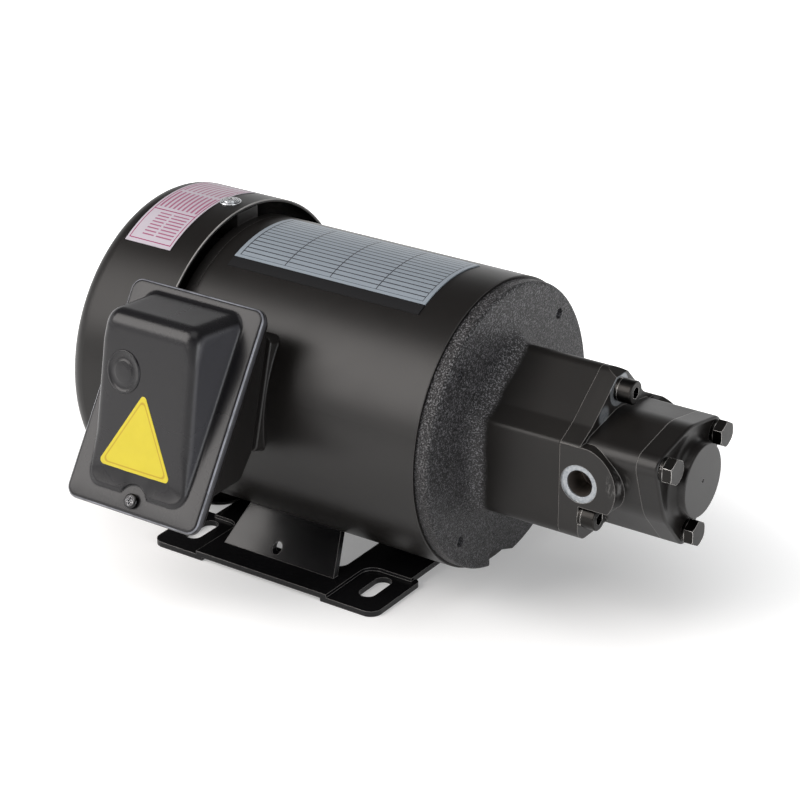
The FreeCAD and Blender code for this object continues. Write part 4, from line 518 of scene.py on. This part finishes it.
def rounded_box(half, low, high, radius, grow=0.0):
    """Rounded rectangle as places (along, up), grown outwards."""
    half, low, high, radius = half + grow, low - grow, high + grow, max(radius + grow, 0.0004)
    centres = ((half - radius, high - radius), (-half + radius, high - radius),
               (-half + radius, low + radius), (half - radius, low + radius))
    side_counts = (16, 28, 56, 28)

    def corner(k, degrees):
        x, y = centres[k]
        turn = math.radians(degrees)
        return x + radius * math.cos(turn), y + radius * math.sin(turn)

    spots = []
    for k, count in enumerate(side_counts):
        spots += [corner(k, 90.0 * k + step * 7.5) for step in range(13)]
        after = (k + 1) % 4
        here, there = Vector(corner(k, 90.0 * (k + 1))), Vector(corner(after, 90.0 * after))
        spots += [tuple(here.lerp(there, n / count)) for n in range(1, count)]
    return spots


def ring_mesh(name, rings, look, shares=None, closed=True):
    """Piece through rings of points of the same count, closed by a flat face at each end."""
    mesh = bmesh.new()
    layer = mesh.verts.layers.float_color.new("edge_share")
    loops = []
    for k, points in enumerate(rings):
        loop = [mesh.verts.new(point) for point in points]
        share = 0.0 if shares is None else shares[k]
        for vert in loop:
            vert[layer] = (share, share, share, 1.0)
        loops.append(loop)
    for outer, inner in zip(loops, loops[1:]):
        for i in range(len(outer)):
            j = (i + 1) % len(outer)
            mesh.faces.new((outer[i], outer[j], inner[j], inner[i]))
    if closed:
        mesh.faces.new(loops[-1])
        mesh.faces.new(loops[0])
    bmesh.ops.remove_doubles(mesh, verts=mesh.verts, dist=0.0000001)
    for face in mesh.faces:
        face.smooth = True
    bmesh.ops.recalc_face_normals(mesh, faces=mesh.faces)
    data = bpy.data.meshes.new(name)
    mesh.to_mesh(data)
    mesh.free()
    item = bpy.data.objects.new(name, data)
    bpy.context.scene.collection.objects.link(item)
    data.materials.append(look.material)
    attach(item, HOME)
    return item


# Terminal box lid

HOOD_W = 0.1455
HOOD_STEP = 0.0012
HOOD_BLEND = 0.0014
SCREW_V = -0.0995
SCALLOP_R = 0.0092
# Half width, low end, high end and corner radius
HOOD_FOOT = (0.0328, -0.0965, 0.0115, 0.0085)
HOOD_FRONT = (0.0316, -0.0955, -0.0062, 0.0085)
RIM = (0.0450, -0.1072, 0.0168, 0.0070)
ROOT = 0.0022
EDGE_SMALL, EDGE_LARGE = 0.0050, 0.0085
EDGE_FROM, EDGE_RUN = -0.022, 0.010
FLAT_INSETS = (0.0095, 0.0130, 0.0180, 0.0240, 0.0290)
WALL, ROOF = 0.0025, 0.0030
CAVE_INSETS = (0.0200, 0.0050)
# Inset and level of each ring round the rim's edge
RIM_EDGE = ((0.0009, RIM_BACK), (0.0004, RIM_BACK + 0.0002), (0.0001, RIM_BACK + 0.0005),
            (0.0, RIM_BACK + 0.0009), (0.0, RIM_FACE - 0.0024), (0.0002, RIM_FACE - 0.0014),
            (0.0007, RIM_FACE - 0.0007), (0.0014, RIM_FACE - 0.0002), (0.0024, RIM_FACE))


def box_point(along, up, out):
    return Vector((0.0, LID_MID_Y - along, SHAFT_Z)) + UP_LID * up + OUT_OF_BOX * out


def hood_level(up):
    """Height of the tilted front, which never sinks into the rim."""
    plane = HOOD_W + up * math.tan(HOOD_TILT)
    least = RIM_FACE + HOOD_STEP
    gap = plane - least
    return least + (gap + math.sqrt(gap * gap + HOOD_BLEND ** 2)) / 2


def scalloped(shape, grow=0.0):
    """Outline of the hood with an arch over the lid's screw."""
    arch = SCALLOP_R - grow
    return [(x, max(y, SCREW_V + math.sqrt(arch * arch - x * x)) if abs(x) < arch else y)
            for x, y in rounded_box(*shape, grow=grow)]


def bend(first, corner, last, count):
    """Points of a rounded corner between two straight runs."""
    shares = [n / (count - 1) for n in range(count)]
    return [first * (1 - s) ** 2 + corner * 2 * s * (1 - s) + last * s ** 2 for s in shares]


def hood_profile():
    """Rings of the hood, from its root on the rim to the flat of its front."""
    foot, foot_out = scalloped(HOOD_FOOT), scalloped(HOOD_FOOT, ROOT)
    front = scalloped(HOOD_FRONT)
    near, far = (scalloped(HOOD_FRONT, -d) for d in (EDGE_SMALL, EDGE_LARGE))
    columns = []
    for i, spot in enumerate(foot):
        low = box_point(*spot, RIM_FACE)
        top = box_point(*front[i], hood_level(front[i][1]))
        rise = (top - low).length
        share = min(1.0, max(0.0, (front[i][1] - EDGE_FROM) / EDGE_RUN))
        wide = EDGE_SMALL + (EDGE_LARGE - EDGE_SMALL) * share
        edge, root = min(wide, rise * 0.5), min(ROOT, rise * 0.45)
        start = low + (box_point(*foot_out[i], RIM_FACE) - low) * (root / ROOT)
        up = (top - low).normalized()
        into = [a + (b - a) * share for a, b in zip(near[i], far[i])]
        inner = box_point(*into, hood_level(into[1]))
        inner = top + (inner - top) * (edge / wide)
        columns.append(bend(start, low, low + up * root, 6) + bend(top - up * edge, top, inner, 9))
    flats = [[box_point(*spot, hood_level(spot[1])) for spot in scalloped(HOOD_FRONT, -d)]
             for d in FLAT_INSETS]
    return [list(ring) for ring in zip(*columns)] + flats


def lid_rings():
    """Rings from the hollow back, round the rim and over the hood."""
    rings = [[box_point(*spot, hood_level(spot[1]) - ROOF) for spot in rounded_box(*HOOD_FRONT, grow=-d)]
             for d in CAVE_INSETS]
    rings.append([box_point(*spot, RIM_BACK) for spot in rounded_box(*HOOD_FOOT, grow=-WALL)])
    for inset, level in RIM_EDGE:
        rings.append([box_point(*spot, level) for spot in rounded_box(*RIM, grow=-inset)])
    return rings + hood_profile()


def on_lid(tree, along, up, height):
    """A place of the hood's front, dropped on the lid and raised from it by a height."""
    start = box_point(along, up, hood_level(up)) + OUT * 0.004
    return tree.ray_cast(start, -OUT)[0] + OUT * height


def rounded_triangle(corners, radius, steps=10, side_steps=12):
    """Outline with round corners, as places (along, up)."""
    spots = []
    count = len(corners)
    for k in range(count):
        here, after, before = (Vector(corners[n % count]) for n in (k, k + 1, k - 1))
        ahead, behind = (after - here).normalized(), (before - here).normalized()
        half = ahead.angle(behind) / 2
        centre = here + (ahead + behind).normalized() * radius / math.sin(half)
        reach = radius / math.tan(half)
        first, last = here + behind * reach - centre, here + ahead * reach - centre
        for step in range(steps + 1):
            share = step / steps
            spots.append(centre + (first * (1 - share) + last * share).normalized() * radius)
        beyond = Vector(corners[(k + 2) % count])
        next_half = (-ahead).angle((beyond - after).normalized()) / 2
        start, end = here + ahead * reach, after - ahead * radius / math.tan(next_half)
        spots += [start.lerp(end, n / side_steps) for n in range(1, side_steps)]
    return spots


STICKER_CORNERS = ((0.0003, -0.0430), (-0.0275, -0.0850), (0.0222, -0.0850))
STICKER_ROUND = 0.0022
# Scale and height of each ring, from the edge inwards
STICKER_RINGS = ((1.0, 0.00002), (0.997, 0.00014), (0.985, 0.00016), (0.95, 0.00016), (0.90, 0.00016),
                 (0.86, 0.00016), (0.6, 0.00016), (0.35, 0.00016), (0.1, 0.00016))
DISC_AT = (-0.0145, -0.0355)
# Radius and height of each ring
DISC_RINGS = ((0.0110, 0.00002), (0.0109, 0.0004), (0.0106, 0.0006), (0.0099, 0.0006), (0.0096, 0.0004),
              (0.0093, 0.0002), (0.0060, 0.0002), (0.0057, 0.0004), (0.0053, 0.0005), (0.0020, 0.0005),
              (0.0005, 0.0005))


def sticker(tree):
    edge = rounded_triangle(STICKER_CORNERS, STICKER_ROUND)
    centre = sum(edge, Vector((0.0, 0.0))) / len(edge)
    rings = [[on_lid(tree, *(centre + (spot - centre) * scale), height) for spot in edge]
             for scale, height in STICKER_RINGS]
    ring_mesh("lid_sticker", rings, sticker_look(), [1.0 - scale for scale, height in STICKER_RINGS])


def disc(tree):
    """Plain round relief with a raised rim."""
    along, up = DISC_AT
    rings = [[on_lid(tree, along + radius * math.cos(t), up + radius * math.sin(t), height)
              for t in circle(96)] for radius, height in DISC_RINGS]
    ring_mesh("lid_disc", rings, hood_look("moulded_disc", 0.0002))


def lid():
    """Lid with a soft cornered hood that runs out flat above its screw."""
    item = ring_mesh("terminal_lid", lid_rings(), hood_look())
    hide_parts("terminal_box_cover")
    shape = bmesh.new()
    shape.from_mesh(item.data)
    tree = BVHTree.FromBMesh(shape)
    sticker(tree)
    disc(tree)
    shape.free()


# Saddle between the shell and the terminal box

SADDLE_TILT = math.radians(15.2)
SADDLE_OUT = Vector((-math.cos(SADDLE_TILT), 0.0, math.sin(SADDLE_TILT)))
SADDLE_UP = Vector((math.sin(SADDLE_TILT), 0.0, math.cos(SADDLE_TILT)))
SADDLE_TOP = 0.0834
SADDLE_MID_Y = 0.0252
SADDLE_SHAPE = (0.0312, -0.0318, 0.0318, 0.004)
SHELL_R = 0.0814
SHELL_SINK = 0.0001


def saddle():
    """Saddle with its foot on the round shell and its flat top behind the box."""
    def point(along, up, out):
        return Vector((0.0, SADDLE_MID_Y - along, SHAFT_Z)) + SADDLE_UP * up + SADDLE_OUT * out

    def on_shell(along, up):
        return point(along, up, math.sqrt((SHELL_R - SHELL_SINK) ** 2 - up * up))

    rings = [[on_shell(x * share, y * share) for x, y in rounded_box(*SADDLE_SHAPE)]
             for share in (0.02, 0.2, 0.4, 0.6, 0.8)]
    for grow, rise in ((0.0008, 0.0), (0.0003, 0.0003), (0.0, 0.0009)):
        rings.append([on_shell(*spot) + SADDLE_OUT * rise for spot in rounded_box(*SADDLE_SHAPE, grow=grow)])
    for inset, drop in ((0.0, 0.0009), (0.0003, 0.0003), (0.0009, 0.0)):
        rings.append([point(*spot, SADDLE_TOP - drop) for spot in rounded_box(*SADDLE_SHAPE, grow=-inset)])
    item = ring_mesh("box_saddle", rings, enamel("saddle_enamel", BLACK, 0.30))
    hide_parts("terminal_box_seat")


# Washers of the fan cover

# Radius and height of each ring
WASHER_RINGS = ((0.0043, -0.0001), (0.0043, 0.0006), (0.0046, 0.0008), (0.0056, 0.0008), (0.0060, 0.0006),
                (0.0062, 0.0003), (0.0062, -0.0003))


def screw_washers():
    """Zinc washers under the four screws of the fan cover."""
    look = metal("washer_zinc", ZINC, 0.20)
    for k in range(4):
        turn = math.radians(90.0 * k)
        out = Vector((math.cos(turn), 0.0, math.sin(turn)))
        side = Vector((-math.sin(turn), 0.0, math.cos(turn)))
        centre = Vector((0.0, COVER_SCREW_Y, SHAFT_Z)) + out * COVER_R
        rings = [[centre + side * (radius * math.cos(t)) + Vector((0.0, radius * math.sin(t), 0.0))
                  + out * height for t in circle(64)] for radius, height in WASHER_RINGS]
        item = ring_mesh(f"cover_screw_washer_{k + 1}", rings + rings[:1], look, closed=False)


lid()
saddle()
screw_washers()


# Camera, lamps, floor and background

WHITE = (1.0, 1.0, 1.0)
LENS, SENSOR = 112.63, 36.0
CAMERA_AT = (-1.0374, -0.7513, 0.6741)
CAMERA_AZIMUTH, CAMERA_RISE, CAMERA_ROLL = (math.radians(v) for v in (-55.525, 24.936, -0.284))
AIM = Vector((0.0, -0.03, 0.09))
FLOOR_HALF = 6.0
FLOOR_DROP = 0.0002
FLOOR_OVAL = (0.13, 0.20)
FLOOR_RAMP = (0.7, 2.4)
FLOOR_NEAR = 0.25
WALL_RAMP = (0.22, 0.50)
CEILING = 0.10
AMBIENT = 0.28


def toward(azimuth, rise):
    """Direction from the object, with azimuth 0 towards -Y."""
    return Vector((math.sin(azimuth) * math.cos(rise), -math.cos(azimuth) * math.cos(rise), math.sin(rise)))


def camera():
    data = bpy.data.cameras.new("photo_camera")
    data.lens = LENS
    data.sensor_width = SENSOR
    data.clip_start = 0.05
    data.clip_end = 20.0
    item = bpy.data.objects.new("photo_camera", data)
    back = toward(CAMERA_AZIMUTH, CAMERA_RISE)
    right = (-back).cross(Vector((0, 0, 1))).normalized()
    up = right.cross(-back)
    tilted_right = right * math.cos(CAMERA_ROLL) + up * math.sin(CAMERA_ROLL)
    tilted_up = up * math.cos(CAMERA_ROLL) - right * math.sin(CAMERA_ROLL)
    turn = Matrix((tilted_right, tilted_up, back)).transposed()
    item.matrix_world = Matrix.Translation(CAMERA_AT) @ turn.to_4x4()
    bpy.context.scene.collection.objects.link(item)
    bpy.context.scene.camera = item


def lamp(name, azimuth, rise, distance, size, power, color=WHITE):
    """Square soft box seen from the object at an azimuth and a rise in degrees."""
    data = bpy.data.lights.new(name, "AREA")
    data.shape = "SQUARE"
    data.size = size
    data.energy = power
    data.color = color
    item = bpy.data.objects.new(name, data)
    away = toward(math.radians(azimuth), math.radians(rise))
    item.location = AIM + away * distance
    item.rotation_euler = away.to_track_quat("Z", "Y").to_euler()
    bpy.context.scene.collection.objects.link(item)


def seen_rays(tree):
    """1 for rays of the camera, of reflections and of glass, which see the white background."""
    path = tree.nodes.new("ShaderNodeLightPath")
    value = path.outputs["Is Camera Ray"]
    for name in ("Is Glossy Ray", "Is Transmission Ray"):
        item = tree.nodes.new("ShaderNodeMath")
        item.operation = "MAXIMUM"
        tree.links.new(value, item.inputs[0])
        tree.links.new(path.outputs[name], item.inputs[1])
        value = item.outputs[0]
    return value


def floor():
    """Pale floor that seen rays find white, but dimmer close to the object."""
    mesh = bpy.data.meshes.new("floor")
    corners = [(x * FLOOR_HALF, y * FLOOR_HALF, 0) for x, y in ((-1, -1), (1, -1), (1, 1), (-1, 1))]
    mesh.from_pydata(corners, [], [(0, 1, 2, 3)])
    item = bpy.data.objects.new("floor", mesh)
    item.location.z = -FLOOR_DROP
    bpy.context.scene.collection.objects.link(item)
    look = Look("floor_paper", (0.80, 0.80, 0.80), 0.9, specular=0.0)
    look.bump(look.noise(60.0), 0.0001)
    squares = [look.calc("POWER", look.times(value, 1.0 / reach), 2.0)
               for value, reach in zip(look.axes(), FLOOR_OVAL)]
    glow = look.ramp(look.calc("SQRT", look.calc("ADD", *squares)), *FLOOR_RAMP, FLOOR_NEAR, 1.0)
    look.set("Emission Color", (*WHITE, 1.0))
    look.set("Emission Strength", look.times(glow, seen_rays(look.tree)))
    mesh.materials.append(look.material)


def world():
    """White wall all round up to a low height, under a dim ceiling."""
    sky = bpy.data.worlds.new("studio")
    sky.use_nodes = True
    tree = sky.node_tree
    back = tree.nodes["Background"]
    place = tree.nodes.new("ShaderNodeTexCoord")
    split = tree.nodes.new("ShaderNodeSeparateXYZ")
    tree.links.new(place.outputs["Generated"], split.inputs[0])
    wall = tree.nodes.new("ShaderNodeMapRange")
    wall.interpolation_type = "SMOOTHSTEP"
    tree.links.new(split.outputs[2], wall.inputs[0])
    for number, value in enumerate((*WALL_RAMP, 1.0, CEILING), 1):
        wall.inputs[number].default_value = value
    level = tree.nodes.new("ShaderNodeMix")
    tree.links.new(seen_rays(tree), level.inputs[0])
    level.inputs[2].default_value = AMBIENT
    tree.links.new(wall.outputs[0], level.inputs[3])
    tree.links.new(level.outputs[0], back.inputs["Strength"])
    back.inputs["Color"].default_value = (*WHITE, 1.0)
    bpy.context.scene.world = sky


camera()
lamp("left_box", -128.0, 34.0, 1.7, 1.3, 32.0, (1.0, 0.965, 0.94))
lamp("front_box", -18.0, 10.0, 1.9, 0.9, 12.5, (0.95, 0.97, 1.0))
lamp("top_box", -60.0, 75.0, 1.6, 1.2, 6.0)
floor()
world()
bpy.context.scene.view_settings.view_transform = "Standard"
